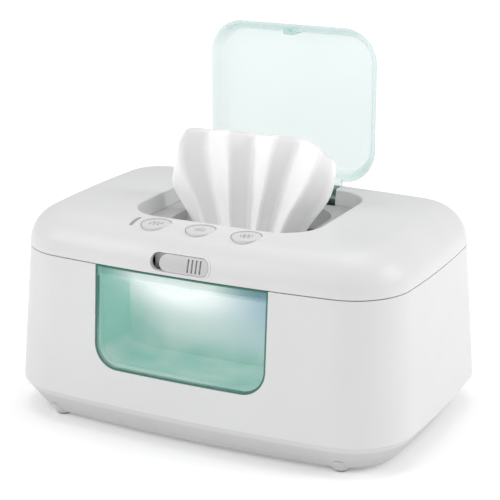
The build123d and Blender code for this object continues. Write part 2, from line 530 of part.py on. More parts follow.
# ---- base pan: tapered tray with moulded legs, screw bosses and a locating lip ----
UPRIGHT = (Align.CENTER, Align.CENTER, Align.MIN)
DOWNRIGHT = (Align.CENTER, Align.CENTER, Align.MAX)
with BuildPart() as base_pan:
    loft([pan_outline(PAN_BOTTOM), pan_outline(CASE_SEAM)], ruled=True)
    loft([pan_outline(PAN_FLOOR_TOP, WALL), pan_outline(CASE_SEAM, WALL)], ruled=True, mode=Mode.SUBTRACT)
    extrude(bowed(FOOT_HALF_LENGTH, FOOT_HALF_WIDTH, FOOT_CORNER, CASE_SEAM - LIP_HEIGHT, WALL + FIT_GAP),
            amount=2 * LIP_HEIGHT)
    extrude(bowed(FOOT_HALF_LENGTH, FOOT_HALF_WIDTH, FOOT_CORNER, CASE_SEAM - LIP_HEIGHT,
                  WALL + FIT_GAP + LIP_WALL), amount=2 * LIP_HEIGHT, mode=Mode.SUBTRACT)
    with Locations(*[(x, y, PAN_BOTTOM) for x, y in BASE_SCREWS]):
        Cylinder(BOSS_RADIUS, CASE_SEAM - PAN_BOTTOM, align=UPRIGHT)
    with Locations(*[(x, y, PAN_BOTTOM + PAN_FLOOR / 2) for x, y in BOARD_SCREWS]):
        Cylinder(STANDOFF_RADIUS, PAN_FLOOR / 2 + STANDOFF_HEIGHT, align=UPRIGHT)
    with Locations(*[(x, y, LEG_BOTTOM) for x, y in FEET]):
        Cone(LEG_BOTTOM_RADIUS, LEG_TOP_RADIUS, PAN_BOTTOM + LEG_RISE - LEG_BOTTOM, align=UPRIGHT)
        Cylinder(PAD_RADIUS + SEAT_GAP, PAD_RECESS, align=UPRIGHT, mode=Mode.SUBTRACT)
    with Locations(*[(x, y, PAN_BOTTOM) for x, y in BASE_SCREWS]):
        Cylinder(SCREW_HEAD_RADIUS + SEAT_GAP, SCREW_HEAD_HEIGHT, align=UPRIGHT, mode=Mode.SUBTRACT)
        Cylinder(SCREW_HOLE_RADIUS, CASE_SEAM - PAN_BOTTOM, align=UPRIGHT, mode=Mode.SUBTRACT)
    with Locations(*[(x, y, PAN_FLOOR_TOP + STANDOFF_HEIGHT) for x, y in BOARD_SCREWS]):
        Cylinder(SCREW_HOLE_RADIUS, BOARD_SCREW_REACH + SEAT_GAP, align=DOWNRIGHT, mode=Mode.SUBTRACT)
    with BuildSketch(Plane.XZ.offset(-INLET_FACE - INLET_RECESS - WALL)):
        with Locations((INLET_X, INLET_Z)):
            Circle(INLET_NOSE_RADIUS + SEAT_GAP)
    extrude(amount=INLET_RECESS + 2 * WALL + LIP_WALL, mode=Mode.SUBTRACT)
finish(base_pan, "base_pan")

# ---- rubber pads: one glued into the recess of each leg ----
with BuildPart() as rubber_pads:
    with Locations(*[(x, y, 0) for x, y in FEET]):
        Cylinder(PAD_RADIUS, LEG_BOTTOM + PAD_RECESS, align=UPRIGHT)
    chamfer(rubber_pads.edges().group_by(Axis.Z)[0], PAD_CHAMFER)
finish(rubber_pads, "rubber_pads")


def screws(places, head_z, reach_z):
    """Pan-head screws driven upwards, from the top of the head to the tip."""
    with BuildPart() as group:
        with Locations(*[(x, y, head_z - SCREW_HEAD_HEIGHT) for x, y in places]):
            Cylinder(SCREW_HEAD_RADIUS, SCREW_HEAD_HEIGHT, align=UPRIGHT)
            Cylinder(SCREW_RADIUS, SCREW_HEAD_HEIGHT + reach_z - head_z, align=UPRIGHT)
        with Locations(*[(x, y, head_z - SCREW_HEAD_HEIGHT) for x, y in places]):
            Box(SCREW_SLOT_LENGTH, SCREW_SLOT_WIDTH, SCREW_SLOT_DEPTH, align=UPRIGHT, mode=Mode.SUBTRACT)
            Box(SCREW_SLOT_WIDTH, SCREW_SLOT_LENGTH, SCREW_SLOT_DEPTH, align=UPRIGHT, mode=Mode.SUBTRACT)
    return group


# ---- base screws: through the pan into the tub's bosses, clamping the housing between ----
base_screws = screws(BASE_SCREWS, PAN_BOTTOM + SCREW_HEAD_HEIGHT, CASE_SEAM + BASE_SCREW_REACH)
finish(base_screws, "base_screws")


def hinge_lug(x, width, low, high):
    """Round knuckle on the cover hinge's axis with a block that joins it to a wall."""
    with BuildPart() as lug:
        with BuildSketch(side_plane(x)):
            with Locations((HINGE_Y, HINGE_Z)):
                Circle(HINGE_RADIUS)
            with Locations((HINGE_Y - HINGE_LUG_DEPTH / 2, (low + high) / 2)):
                Rectangle(HINGE_LUG_DEPTH, high - low)
            with Locations((HINGE_Y, HINGE_Z)):
                Circle(HINGE_PIN_RADIUS + PIN_CLEARANCE, mode=Mode.SUBTRACT)
        extrude(amount=width / 2, both=True)
    return lug.part


# ---- housing ledge: shelf that carries the tub's flange, open behind the window ----
with BuildPart() as ledge:
    add(housing_block(FLANGE_BOTTOM - LEDGE_THICKNESS, FLANGE_BOTTOM, WALL / 2))
    add(housing_block(FLANGE_BOTTOM - LEDGE_THICKNESS, FLANGE_BOTTOM, WALL + LEDGE_WIDTH),
        mode=Mode.SUBTRACT)
    with Locations((WINDOW_X, -FOOT_HALF_WIDTH, FLANGE_BOTTOM)):
        Box(2 * (LIGHT_BOX_HALF_WIDTH + FIT_GAP), FOOT_HALF_WIDTH, FOOT_HALF_WIDTH, mode=Mode.SUBTRACT)

# ---- housing: flared wall, open above and below, notched for the window ----
with BuildPart() as housing:
    add(housing_block(CASE_SEAM, COVER_SEAM, 0))
    add(housing_block(CASE_SEAM, COVER_SEAM, WALL), mode=Mode.SUBTRACT)
    add(ledge.part)
    for station in (-HINGE_X, HINGE_X):
        for side in (-1, 1):
            add(hinge_lug(station + side * CASE_KNUCKLE_OFFSET, HINGE_CASE_WIDTH,
                          HINGE_Z - HINGE_LUG_HEIGHT, HINGE_Z))
    extrude(window_outline(SEAT_GAP, front_plane(LIGHT_BOX_BACK)), amount=FRONT_REACH, mode=Mode.SUBTRACT)
finish(housing, "housing")

# ---- cover hinge pins: one steel pin through each hinge ----
with BuildPart() as cover_hinge_pins:
    for station in (-HINGE_X, HINGE_X):
        with BuildSketch(side_plane(station)):
            with Locations((HINGE_Y, HINGE_Z)):
                Circle(HINGE_PIN_RADIUS)
        extrude(amount=CASE_KNUCKLE_OFFSET + HINGE_CASE_WIDTH / 2, both=True)
finish(cover_hinge_pins, "cover_hinge_pins")

# ---- tub: flange on the ledge, deep well, sight opening, bosses for the base screws ----
with BuildPart() as tub:
    add(housing_block(FLANGE_BOTTOM, FLANGE_TOP, FLANGE_INSET))
    extrude(rounded(TUB_HALF_LENGTH + TUB_WALL, TUB_FRONT - TUB_WALL, TUB_BACK + TUB_WALL,
                    TUB_CORNER + TUB_WALL, TUB_FLOOR_BOTTOM), amount=FLANGE_TOP - TUB_FLOOR_BOTTOM)
    with Locations(*[(x, y, CASE_SEAM) for x, y in BASE_SCREWS]):
        Cylinder(BOSS_RADIUS, TUB_FLOOR_TOP - CASE_SEAM, align=UPRIGHT)
    extrude(rounded(TUB_HALF_LENGTH, TUB_FRONT, TUB_BACK, TUB_CORNER, TUB_FLOOR_TOP),
            amount=FLANGE_TOP - TUB_FLOOR_TOP, mode=Mode.SUBTRACT)
    with BuildSketch(front_plane(TUB_FRONT + TUB_WALL)):
        with Locations((WINDOW_X, (SIGHT_BOTTOM + SIGHT_TOP) / 2)):
            RectangleRounded(2 * (WINDOW_HALF_WIDTH - SIGHT_MARGIN), SIGHT_TOP - SIGHT_BOTTOM,
                             SIGHT_MARGIN)
    extrude(amount=3 * TUB_WALL, mode=Mode.SUBTRACT)
    with Locations((HOOK_SLOT_X, HOOK_Y, FLANGE_BOTTOM)):
        Box(HOOK_SLOT_LENGTH, LATCH_PLATE_THICKNESS + 4 * FIT_GAP, FLANGE_THICKNESS, align=UPRIGHT,
            mode=Mode.SUBTRACT)
    with Locations(*[(x, y, CASE_SEAM) for x, y in BASE_SCREWS]):
        Cylinder(SCREW_HOLE_RADIUS, BASE_SCREW_REACH + SEAT_GAP, align=UPRIGHT, mode=Mode.SUBTRACT)
finish(tub, "tub")

# ---- window pane: tinted panel that continues the housing's bowed front ----
with BuildPart() as window_pane:
    add(housing_block(CASE_SEAM, COVER_SEAM, WINDOW_SINK))
    add(housing_block(CASE_SEAM, COVER_SEAM, WINDOW_SINK + PANE_THICKNESS), mode=Mode.SUBTRACT)
    extrude(window_outline(0.0, front_plane(LIGHT_BOX_BACK)), amount=FRONT_REACH, mode=Mode.INTERSECT)
finish(window_pane, "window_pane")

# ---- light box: tinted tray behind the pane that carries the night light's glow ----
with BuildPart() as light_box:
    extrude(window_outline(LIGHT_BOX_OVERLAP, front_plane(LIGHT_BOX_BACK)), amount=FRONT_REACH)
    add(housing_block(CASE_SEAM, FLANGE_BOTTOM - SEAT_GAP, FLANGE_INSET), mode=Mode.INTERSECT)
    extrude(window_outline(LIGHT_BOX_OVERLAP - LIGHT_BOX_WALL,
                           front_plane(LIGHT_BOX_BACK - LIGHT_BOX_WALL)),
            amount=FRONT_REACH, mode=Mode.SUBTRACT)
    with Locations((LIGHT_BOX_END, LED_BOARD_MIDDLE, FLANGE_BOTTOM)):
        Box(4 * LIGHT_BOX_WALL, 4 * CABLE_RADIUS, 4 * LIGHT_CABLE_DROP, mode=Mode.SUBTRACT)
finish(light_box, "light_box")

# ---- night light: strip board under the flange with a row of LEDs below it ----
with BuildPart() as led_board:
    with Locations((WINDOW_X, LED_BOARD_MIDDLE, LED_BOARD_BOTTOM)):
        Box(2 * LED_BOARD_HALF_LENGTH, LED_BOARD_DEPTH, BOARD_THICKNESS, align=UPRIGHT)
finish(led_board, "led_board")

with BuildPart() as led_lamps:
    for index in range(LED_COUNT):
        with Locations((WINDOW_X + (index - (LED_COUNT - 1) / 2) * LED_PITCH, LED_BOARD_MIDDLE,
                        LED_BOARD_BOTTOM - LED_HEIGHT)):
            Cylinder(LED_RADIUS, LED_HEIGHT, align=UPRIGHT)
    fillet(led_lamps.edges().group_by(Axis.Z)[0], LED_HEIGHT / 2)
finish(led_lamps, "led_lamps")

# ---- wipe stack: folded wipes lying in the well ----
with BuildPart() as wipe_stack:
    extrude(rounded(TUB_HALF_LENGTH - STACK_CLEARANCE, TUB_FRONT + STACK_CLEARANCE,
                    TUB_BACK - STACK_CLEARANCE, STACK_CORNER, TUB_FLOOR_TOP),
            amount=STACK_TOP - TUB_FLOOR_TOP)
    fillet(wipe_stack.edges().group_by(Axis.Z)[-1], STACK_CORNER / 2)
finish(wipe_stack, "wipe_stack")

# ---- heater: aluminium plate glued under the well, film on it, felt over the film ----
with BuildPart() as heating_plate:
    extrude(rounded(PLATE_HALF_LENGTH, TUB_FRONT + PLATE_MARGIN, TUB_BACK - PLATE_MARGIN, PLATE_CORNER,
                    PLATE_BOTTOM), amount=PLATE_THICKNESS)
finish(heating_plate, "heating_plate")

with BuildPart() as heating_film:
    extrude(rounded(PLATE_HALF_LENGTH - FILM_MARGIN, TUB_FRONT + PLATE_MARGIN + FILM_MARGIN,
                    TUB_BACK - PLATE_MARGIN - FILM_MARGIN, PLATE_CORNER, FILM_BOTTOM),
            amount=FILM_THICKNESS)
finish(heating_film, "heating_film")

with BuildPart() as thermostat:
    with Locations((THERMOSTAT_X, TUB_MIDDLE, FILM_BOTTOM - THERMOSTAT_HEIGHT)):
        Cylinder(THERMOSTAT_RADIUS, THERMOSTAT_HEIGHT, align=UPRIGHT)
    chamfer(thermostat.edges().group_by(Axis.Z)[0], PAD_CHAMFER)
finish(thermostat, "thermostat")

with BuildPart() as thermal_fuse:
    with BuildSketch(side_plane(FUSE_X)):
        with Locations((TUB_MIDDLE, FILM_BOTTOM - FUSE_RADIUS)):
            Circle(FUSE_RADIUS)
    extrude(amount=FUSE_LENGTH / 2, both=True)
finish(thermal_fuse, "thermal_fuse")

with BuildPart() as insulation_pad:
    extrude(rounded(PLATE_HALF_LENGTH - FILM_MARGIN, TUB_FRONT + PLATE_MARGIN + FILM_MARGIN,
                    TUB_BACK - PLATE_MARGIN - FILM_MARGIN, PLATE_CORNER,
                    FILM_BOTTOM - INSULATION_THICKNESS), amount=INSULATION_THICKNESS)
    with Locations((THERMOSTAT_X, TUB_MIDDLE, FILM_BOTTOM)):
        Cylinder(THERMOSTAT_RADIUS + FIT_GAP, 2 * THERMOSTAT_HEIGHT, mode=Mode.SUBTRACT)
    with Locations((FUSE_X, TUB_MIDDLE, FILM_BOTTOM)):
        Box(FUSE_LENGTH + 2 * FIT_GAP, 2 * (FUSE_RADIUS + FIT_GAP), 2 * THERMOSTAT_HEIGHT,
            mode=Mode.SUBTRACT)
finish(insulation_pad, "insulation_pad")

# ---- power board: carries the inlet, a capacitor and a driver, screwed to the pan's standoffs ----
with BuildPart() as power_board:
    with Locations((POWER_BOARD_X, POWER_BOARD_MIDDLE, POWER_BOARD_TOP - BOARD_THICKNESS)):
        Box(POWER_BOARD_LENGTH, POWER_BOARD_WIDTH, BOARD_THICKNESS, align=UPRIGHT)
    with Locations(*[(x, y, POWER_BOARD_TOP - BOARD_THICKNESS) for x, y in BOARD_SCREWS]):
        Cylinder(SCREW_HOLE_RADIUS, BOARD_THICKNESS, align=UPRIGHT, mode=Mode.SUBTRACT)
finish(power_board, "power_board")

with BuildPart() as power_components:
    with Locations((POWER_BOARD_X - CAPACITOR_RADIUS * 3, POWER_BOARD_MIDDLE, POWER_BOARD_TOP)):
        Cylinder(CAPACITOR_RADIUS, CAPACITOR_HEIGHT, align=UPRIGHT)
    with Locations((POWER_BOARD_X + CAPACITOR_RADIUS, POWER_BOARD_MIDDLE, POWER_BOARD_TOP)):
        Box(2 * CAPACITOR_RADIUS, 3 * CAPACITOR_RADIUS, BOARD_THICKNESS, align=UPRIGHT)
finish(power_components, "power_components")

with BuildPart() as board_screws:
    with Locations(*[(x, y, POWER_BOARD_TOP) for x, y in BOARD_SCREWS]):
        Cylinder(SCREW_HEAD_RADIUS, SCREW_HEAD_HEIGHT, align=UPRIGHT)
        Cylinder(SCREW_RADIUS, BOARD_THICKNESS + BOARD_SCREW_REACH, align=DOWNRIGHT)
finish(board_screws, "board_screws")

# ---- power inlet: barrel jack on the board, looking out through the back of the pan ----
with BuildPart() as dc_inlet:
    with Locations((INLET_X, INLET_FACE - INLET_RECESS - 2 * WALL, POWER_BOARD_TOP)):
        Box(INLET_SIZE, INLET_SIZE, INLET_SIZE, align=(Align.CENTER, Align.MAX, Align.MIN))
    with BuildSketch(Plane.XZ.offset(-INLET_FACE)):
        with Locations((INLET_X, INLET_Z)):
            Circle(INLET_NOSE_RADIUS)
    extrude(amount=INLET_RECESS + 2 * WALL)
    with BuildSketch(Plane.XZ.offset(-INLET_FACE)):
        with Locations((INLET_X, INLET_Z)):
            Circle(INLET_BORE_RADIUS)
            Circle(INLET_PIN_RADIUS, mode=Mode.SUBTRACT)
    extrude(amount=INLET_BORE_DEPTH, mode=Mode.SUBTRACT)
finish(dc_inlet, "dc_inlet")


def cable(points, bend):
    """Round cable through a list of places, with the same bend at every corner."""
    with BuildPart() as run:
        with BuildLine() as route:
            FilletPolyline(*points, radius=bend)
        with BuildSketch(Plane(origin=route.line @ 0, z_dir=route.line % 0)):
            Circle(CABLE_RADIUS)
        sweep(path=route.line)
    return run.part


# ---- wiring harness: power board to night light, and power board to thermostat ----
with BuildPart() as wiring_harness:
    add(cable(LIGHT_CABLE, CABLE_BEND))
    add(cable(HEATER_CABLE, CABLE_BEND))
finish(wiring_harness, "wiring_harness")


def recess_outline(height, grow=0.0):
    """Outline of the recess wall at a height, grown outwards."""
    slope = RECESS_SLOPE * (CASE_TOP - height) / (CASE_TOP - RECESS_FLOOR) - grow
    return rounded(RECESS_HALF_LENGTH - slope, RECESS_FRONT + slope, RECESS_BACK - slope,
                   RECESS_CORNER - slope, height)


def throat_outline(height, grow=0.0):
    """Outline of the dispensing opening at a height, grown outwards."""
    return rounded(THROAT_HALF_LENGTH + grow, THROAT_FRONT - grow, THROAT_BACK + grow,
                   THROAT_CORNER + grow, height)


def indicator_outline(grow):
    """Outline of the indicator's lens at the level of its underside, grown outwards."""
    with BuildSketch(Plane.XY.offset(BUTTON_FLANGE_TOP)) as sketch:
        with Locations((INDICATOR_X, INDICATOR_Y)):
            SlotOverall(INDICATOR_LENGTH + 2 * grow, INDICATOR_WIDTH + 2 * grow, rotation=90)
    return sketch.sketch


def latch_slot(length, height, middle):
    """Pill outline on the front of the cover, placed by the middle of its length."""
    with BuildSketch(front_plane(LATCH_PLATE_FRONT)) as sketch:
        with Locations((middle, LATCH_Z)):
            SlotOverall(length, height)
    return sketch.sketch


# ---- latch rim: raised pill-shaped rim round the latch slot, following the rolled edge ----
with BuildPart() as latch_rim:
    extrude(latch_slot(LATCH_SLOT_LENGTH + 2 * LATCH_RIM, LATCH_SLOT_HEIGHT + 2 * LATCH_RIM, LATCH_X),
            amount=FRONT_REACH)
    add(cover_block(-LATCH_RIM_PROUD), mode=Mode.INTERSECT)
    add(cover_block(WALL), mode=Mode.SUBTRACT)

# ---- top cover: rolled shell with the lid's recess, throat, guides, bosses and hinge ears ----
with BuildPart() as top_cover:
    add(cover_block(0))
    add(cover_block(WALL), mode=Mode.SUBTRACT)
    loft([recess_outline(RECESS_UNDERSIDE, RECESS_WALL),
          recess_outline(INNER_TOP + WALL / 2, RECESS_WALL)], ruled=True)
    extrude(throat_outline(LINER_TOP, THROAT_WALL), amount=RECESS_FLOOR - LINER_TOP)
    loft([recess_outline(RECESS_FLOOR), recess_outline(CASE_TOP)], ruled=True, mode=Mode.SUBTRACT)
    extrude(throat_outline(LINER_TOP), amount=RECESS_FLOOR - LINER_TOP, mode=Mode.SUBTRACT)
    deck = top_cover.faces().filter_by(Axis.Z).sort_by(Axis.Z)[-1]
    fillet(deck.inner_wires().edges(), RECESS_RIM_ROUND)
    add(latch_rim.part)
    with Locations(*[(x, y, LINER_TOP) for x, y in LINER_SCREWS]):
        Cylinder(BOSS_RADIUS, INNER_TOP + WALL / 4 - LINER_TOP, align=UPRIGHT)
    with Locations(*[(x, y, CONTROL_BOARD_TOP) for x, y in CONTROL_SCREWS]):
        Cylinder(CONTROL_POST_RADIUS, INNER_TOP + WALL / 4 - CONTROL_BOARD_TOP, align=UPRIGHT)
    for x in (-LID_ARM_X, LID_ARM_X):
        for side in (-1, 1):
            with BuildSketch(side_plane(x + side * LID_BEARING_OFFSET)):
                with Locations((LID_AXIS_Y, LID_AXIS_Z)):
                    Circle(LID_KNUCKLE_RADIUS)
                with Locations((LID_AXIS_Y, (LID_AXIS_Z + INNER_TOP + WALL / 4) / 2)):
                    Rectangle(2 * LID_KNUCKLE_RADIUS, INNER_TOP + WALL / 4 - LID_AXIS_Z)
            extrude(amount=LID_BEARING_WIDTH / 2, both=True)
    with Locations((0, (GUIDE_FRONT + GUIDE_BACK) / 2, CATCH_BOTTOM - FIT_GAP - GUIDE_WALL)):
        Box(2 * (CATCH_HALF_WIDTH + FIT_GAP + GUIDE_WALL), GUIDE_BACK - GUIDE_FRONT,
            GUIDE_TOP - CATCH_BOTTOM + FIT_GAP + GUIDE_WALL, align=UPRIGHT)
    for x in (-HINGE_X, HINGE_X):
        add(hinge_lug(x, HINGE_COVER_WIDTH, COVER_BOTTOM, HINGE_Z + HINGE_LUG_HEIGHT))
    with Locations((0, (CATCH_BACK + CATCH_NOSE) / 2, CATCH_BOTTOM - FIT_GAP)):
        Box(2 * (CATCH_HALF_WIDTH + FIT_GAP), CATCH_NOSE - CATCH_BACK, CATCH_THICKNESS + 2 * FIT_GAP,
            align=UPRIGHT, mode=Mode.SUBTRACT)
    with Locations((0, (TAB_FRONT - TAB_LIP + TAB_BACK) / 2, RECESS_UNDERSIDE)):
        Box(2 * (TAB_HALF_WIDTH + 2 * FIT_GAP), TAB_THICKNESS + TAB_LIP + 4 * FIT_GAP,
            RECESS_FLOOR_THICKNESS, align=UPRIGHT, mode=Mode.SUBTRACT)
    for x in (-LID_ARM_X, LID_ARM_X):
        with Locations((x, (LID_SLOT_FRONT + LID_SLOT_BACK) / 2, RECESS_UNDERSIDE)):
            Box(LID_ARM_WIDTH + 2 * FIT_GAP, LID_SLOT_BACK - LID_SLOT_FRONT, CASE_TOP - RECESS_UNDERSIDE,
                align=UPRIGHT, mode=Mode.SUBTRACT)
    with BuildSketch(side_plane(0)):
        with Locations((LID_AXIS_Y, LID_AXIS_Z)):
            Circle(LID_PIN_RADIUS + PIN_CLEARANCE)
    extrude(amount=LID_PIN_HALF_LENGTH, both=True, mode=Mode.SUBTRACT)
    with Locations(*[(x, BUTTON_Y, BUTTON_FLANGE_TOP) for x in BUTTONS]):
        Cylinder(BUTTON_RADIUS + FIT_GAP, CASE_TOP - BUTTON_FLANGE_TOP, align=UPRIGHT, mode=Mode.SUBTRACT)
    extrude(indicator_outline(SEAT_GAP), amount=CASE_TOP - BUTTON_FLANGE_TOP, mode=Mode.SUBTRACT)
    extrude(latch_slot(LATCH_SLOT_LENGTH, LATCH_SLOT_HEIGHT, LATCH_X), amount=FRONT_REACH,
            mode=Mode.SUBTRACT)
    with Locations(*[(x, y, LINER_TOP) for x, y in LINER_SCREWS]):
        Cylinder(SCREW_HOLE_RADIUS, LINER_SCREW_REACH + SEAT_GAP, align=UPRIGHT, mode=Mode.SUBTRACT)
    with Locations(*[(x, y, CONTROL_BOARD_TOP) for x, y in CONTROL_SCREWS]):
        Cylinder(SCREW_HOLE_RADIUS, CONTROL_SCREW_REACH + SEAT_GAP, align=UPRIGHT, mode=Mode.SUBTRACT)
finish(top_cover, "top_cover")

# ---- cover liner: plate that closes the cover, with the post and rest for the lid catch ----
with BuildPart() as cover_liner:
    extrude(bowed(SEAM_HALF_LENGTH, SEAM_HALF_WIDTH, SEAM_CORNER, LINER_BOTTOM, WALL + LINER_GAP),
            amount=LINER_THICKNESS)
    extrude(throat_outline(LINER_BOTTOM), amount=LINER_THICKNESS, mode=Mode.SUBTRACT)
    with Locations((HOOK_SLOT_X, HOOK_Y, LINER_BOTTOM)):
        Box(HOOK_SLOT_LENGTH, LATCH_PLATE_THICKNESS + 2 * FIT_GAP, LINER_THICKNESS, align=UPRIGHT,
            mode=Mode.SUBTRACT)
    with Locations((CATCH_SPRING_X, POST_FRONT + POST_THICKNESS / 2, LINER_TOP)):
        Box(2 * CATCH_SPRING_RADIUS + POST_THICKNESS, POST_THICKNESS, CATCH_TOP - LINER_TOP,
            align=UPRIGHT)
    with Locations((0, POST_FRONT + POST_THICKNESS / 2, LINER_TOP)):
        Box(CATCH_HALF_WIDTH, POST_THICKNESS, CATCH_BOTTOM - FIT_GAP - LINER_TOP, align=UPRIGHT)
    with Locations(*[(x, y, LINER_BOTTOM) for x, y in LINER_SCREWS]):
        Cylinder(SCREW_HOLE_RADIUS, LINER_THICKNESS, align=UPRIGHT, mode=Mode.SUBTRACT)
finish(cover_liner, "cover_liner")

# ---- liner screws ----
liner_screws = screws(LINER_SCREWS, LINER_BOTTOM, LINER_TOP + LINER_SCREW_REACH)
finish(liner_screws, "liner_screws")


def seal_outline(grow):
    """Outline of the seal round the well, grown outwards."""
    return rounded(TUB_HALF_LENGTH + TUB_WALL + grow, TUB_FRONT - TUB_WALL - grow,
                   TUB_BACK + TUB_WALL + grow, TUB_CORNER + TUB_WALL + grow, FLANGE_TOP + FIT_GAP)


# ---- cover seal: soft ring under the liner that closes on the tub's flange ----
with BuildPart() as cover_seal:
    extrude(seal_outline(SEAL_MARGIN + SEAL_WIDTH), amount=LINER_BOTTOM - FLANGE_TOP - FIT_GAP)
    extrude(seal_outline(SEAL_MARGIN), amount=LINER_BOTTOM - FLANGE_TOP - FIT_GAP, mode=Mode.SUBTRACT)
finish(cover_seal, "cover_seal")

# ---- control board: hangs from the cover's posts, notched round the liner's posts ----
with BuildPart() as control_board:
    with BuildSketch(Plane.XY.offset(CONTROL_BOARD_BOTTOM)):
        with Locations((0, (CONTROL_FRONT + CONTROL_BACK) / 2)):
            Rectangle(2 * CONTROL_HALF_LENGTH, CONTROL_BACK - CONTROL_FRONT)
        with Locations((CATCH_SPRING_X / 2, POST_FRONT + POST_THICKNESS / 2)):
            Rectangle(CATCH_SPRING_X + 2 * CATCH_SPRING_RADIUS + CATCH_HALF_WIDTH + 2 * NOTCH_MARGIN,
                      2 * (POST_FRONT - CONTROL_FRONT) + POST_THICKNESS, mode=Mode.SUBTRACT)
        with Locations(*CONTROL_SCREWS):
            Circle(SCREW_HOLE_RADIUS, mode=Mode.SUBTRACT)
    extrude(amount=BOARD_THICKNESS)
finish(control_board, "control_board")

control_screws = screws(CONTROL_SCREWS, CONTROL_BOARD_BOTTOM, CONTROL_BOARD_TOP + CONTROL_SCREW_REACH)
finish(control_screws, "control_screws")

# ---- push switches under the two outer buttons ----
with BuildPart() as push_switches:
    with Locations(*[(x, BUTTON_Y, CONTROL_BOARD_TOP) for x in BUTTONS if x]):
        Box(SWITCH_SIZE, SWITCH_SIZE, SWITCH_HEIGHT, align=UPRIGHT)
        Cylinder(SWITCH_PLUNGER_RADIUS, SWITCH_HEIGHT + SWITCH_PLUNGER_HEIGHT, align=UPRIGHT)
finish(push_switches, "push_switches")

# ---- indicator light: slim clear lens in the face of the cover, on a pin from the board ----
with BuildPart() as indicator_light:
    extrude(indicator_outline(0.0), amount=CASE_TOP - BUTTON_FLANGE_TOP)
    add(cover_block(0), mode=Mode.INTERSECT)
    with Locations((INDICATOR_X, INDICATOR_Y, CONTROL_BOARD_TOP)):
        Cylinder(INDICATOR_PIN_RADIUS, BUTTON_FLANGE_TOP - CONTROL_BOARD_TOP, align=UPRIGHT)
finish(indicator_light, "indicator_light")


def button_cap(x):
    """Round cap with a level face and its retaining rim."""
    with BuildPart() as cap:
        with Locations((x, BUTTON_Y, BUTTON_FLANGE_TOP - BUTTON_FLANGE_HEIGHT)):
            Cylinder(BUTTON_RADIUS, BUTTON_TOP - BUTTON_FLANGE_TOP + BUTTON_FLANGE_HEIGHT, align=UPRIGHT)
        fillet(cap.edges().group_by(Axis.Z)[-1], BUTTON_ROUND)
        with Locations((x, BUTTON_Y, BUTTON_FLANGE_TOP - BUTTON_FLANGE_HEIGHT)):
            Cylinder(BUTTON_RADIUS + BUTTON_FLANGE, BUTTON_FLANGE_HEIGHT, align=UPRIGHT)
    return cap.part


# ---- outer buttons: cap with a stem over its switch ----
for x, name in ((-BUTTON_PITCH, "heat_button"), (BUTTON_PITCH, "light_button")):
    with BuildPart() as outer_button:
        add(button_cap(x))
        with Locations((x, BUTTON_Y, BUTTON_STEM_BOTTOM)):
            Cylinder(STEM_RADIUS, BUTTON_FLANGE_TOP - BUTTON_STEM_BOTTOM, align=UPRIGHT)
    finish(outer_button, name)

# ---- lid release button: cap with a wedge that draws the catch forwards ----
with BuildPart() as release_button:
    add(button_cap(0))
    with BuildSketch(side_plane(0)):
        Polygon(*WEDGE_PROFILE, align=None)
    extrude(amount=WEDGE_HALF_WIDTH, both=True)
finish(release_button, "release_button")

# ---- lid catch: sprung slide with a nose over the tab's lip and a slope for the wedge ----
with BuildPart() as lid_catch:
    with BuildSketch(side_plane(0)):
        Polygon(*CATCH_PROFILE, align=None)
    extrude(amount=CATCH_HALF_WIDTH, both=True)
    with BuildSketch(side_plane(0)):
        Polygon(*CATCH_WINDOW_PROFILE, align=None)
    extrude(amount=WEDGE_HALF_WIDTH + FIT_GAP, both=True, mode=Mode.SUBTRACT)
    with Locations(((CATCH_HALF_WIDTH + LUG_REACH) / 2, LUG_BACK - LUG_THICKNESS / 2, CATCH_BOTTOM)):
        Box(LUG_REACH - CATCH_HALF_WIDTH, LUG_THICKNESS, CATCH_THICKNESS, align=UPRIGHT)
finish(lid_catch, "lid_catch")

# ---- catch spring: coil between the liner's post and the catch's lug, as a sleeve ----
with BuildPart() as catch_spring:
    with BuildSketch(Plane.XZ.offset(LUG_THICKNESS - LUG_BACK)):
        with Locations((CATCH_SPRING_X, CATCH_BOTTOM + CATCH_SPRING_RADIUS)):
            Circle(CATCH_SPRING_RADIUS)
            Circle(CATCH_SPRING_RADIUS - CATCH_SPRING_WIRE, mode=Mode.SUBTRACT)
    extrude(amount=LUG_BACK - LUG_THICKNESS - POST_FRONT - POST_THICKNESS)
finish(catch_spring, "catch_spring")

# ---- latch knob: ribbed pill in the slot, flush with the rolled edge ----
with BuildPart() as latch_knob:
    extrude(latch_slot(KNOB_LENGTH, KNOB_HEIGHT, KNOB_X), amount=FRONT_REACH)
    add(cover_block(-LATCH_PROUD), mode=Mode.INTERSECT)
    for index in range(LATCH_RIB_COUNT):
        with Locations((KNOB_X + LATCH_RIB_X + (index - (LATCH_RIB_COUNT - 1) / 2) * LATCH_RIB_PITCH,
                        LATCH_GROOVE_Y, LATCH_Z)):
            Box(LATCH_RIB_WIDTH, FRONT_REACH, KNOB_HEIGHT - 2 * LATCH_RIM,
                align=(Align.CENTER, Align.MAX, Align.CENTER), mode=Mode.SUBTRACT)
finish(latch_knob, "latch_knob")

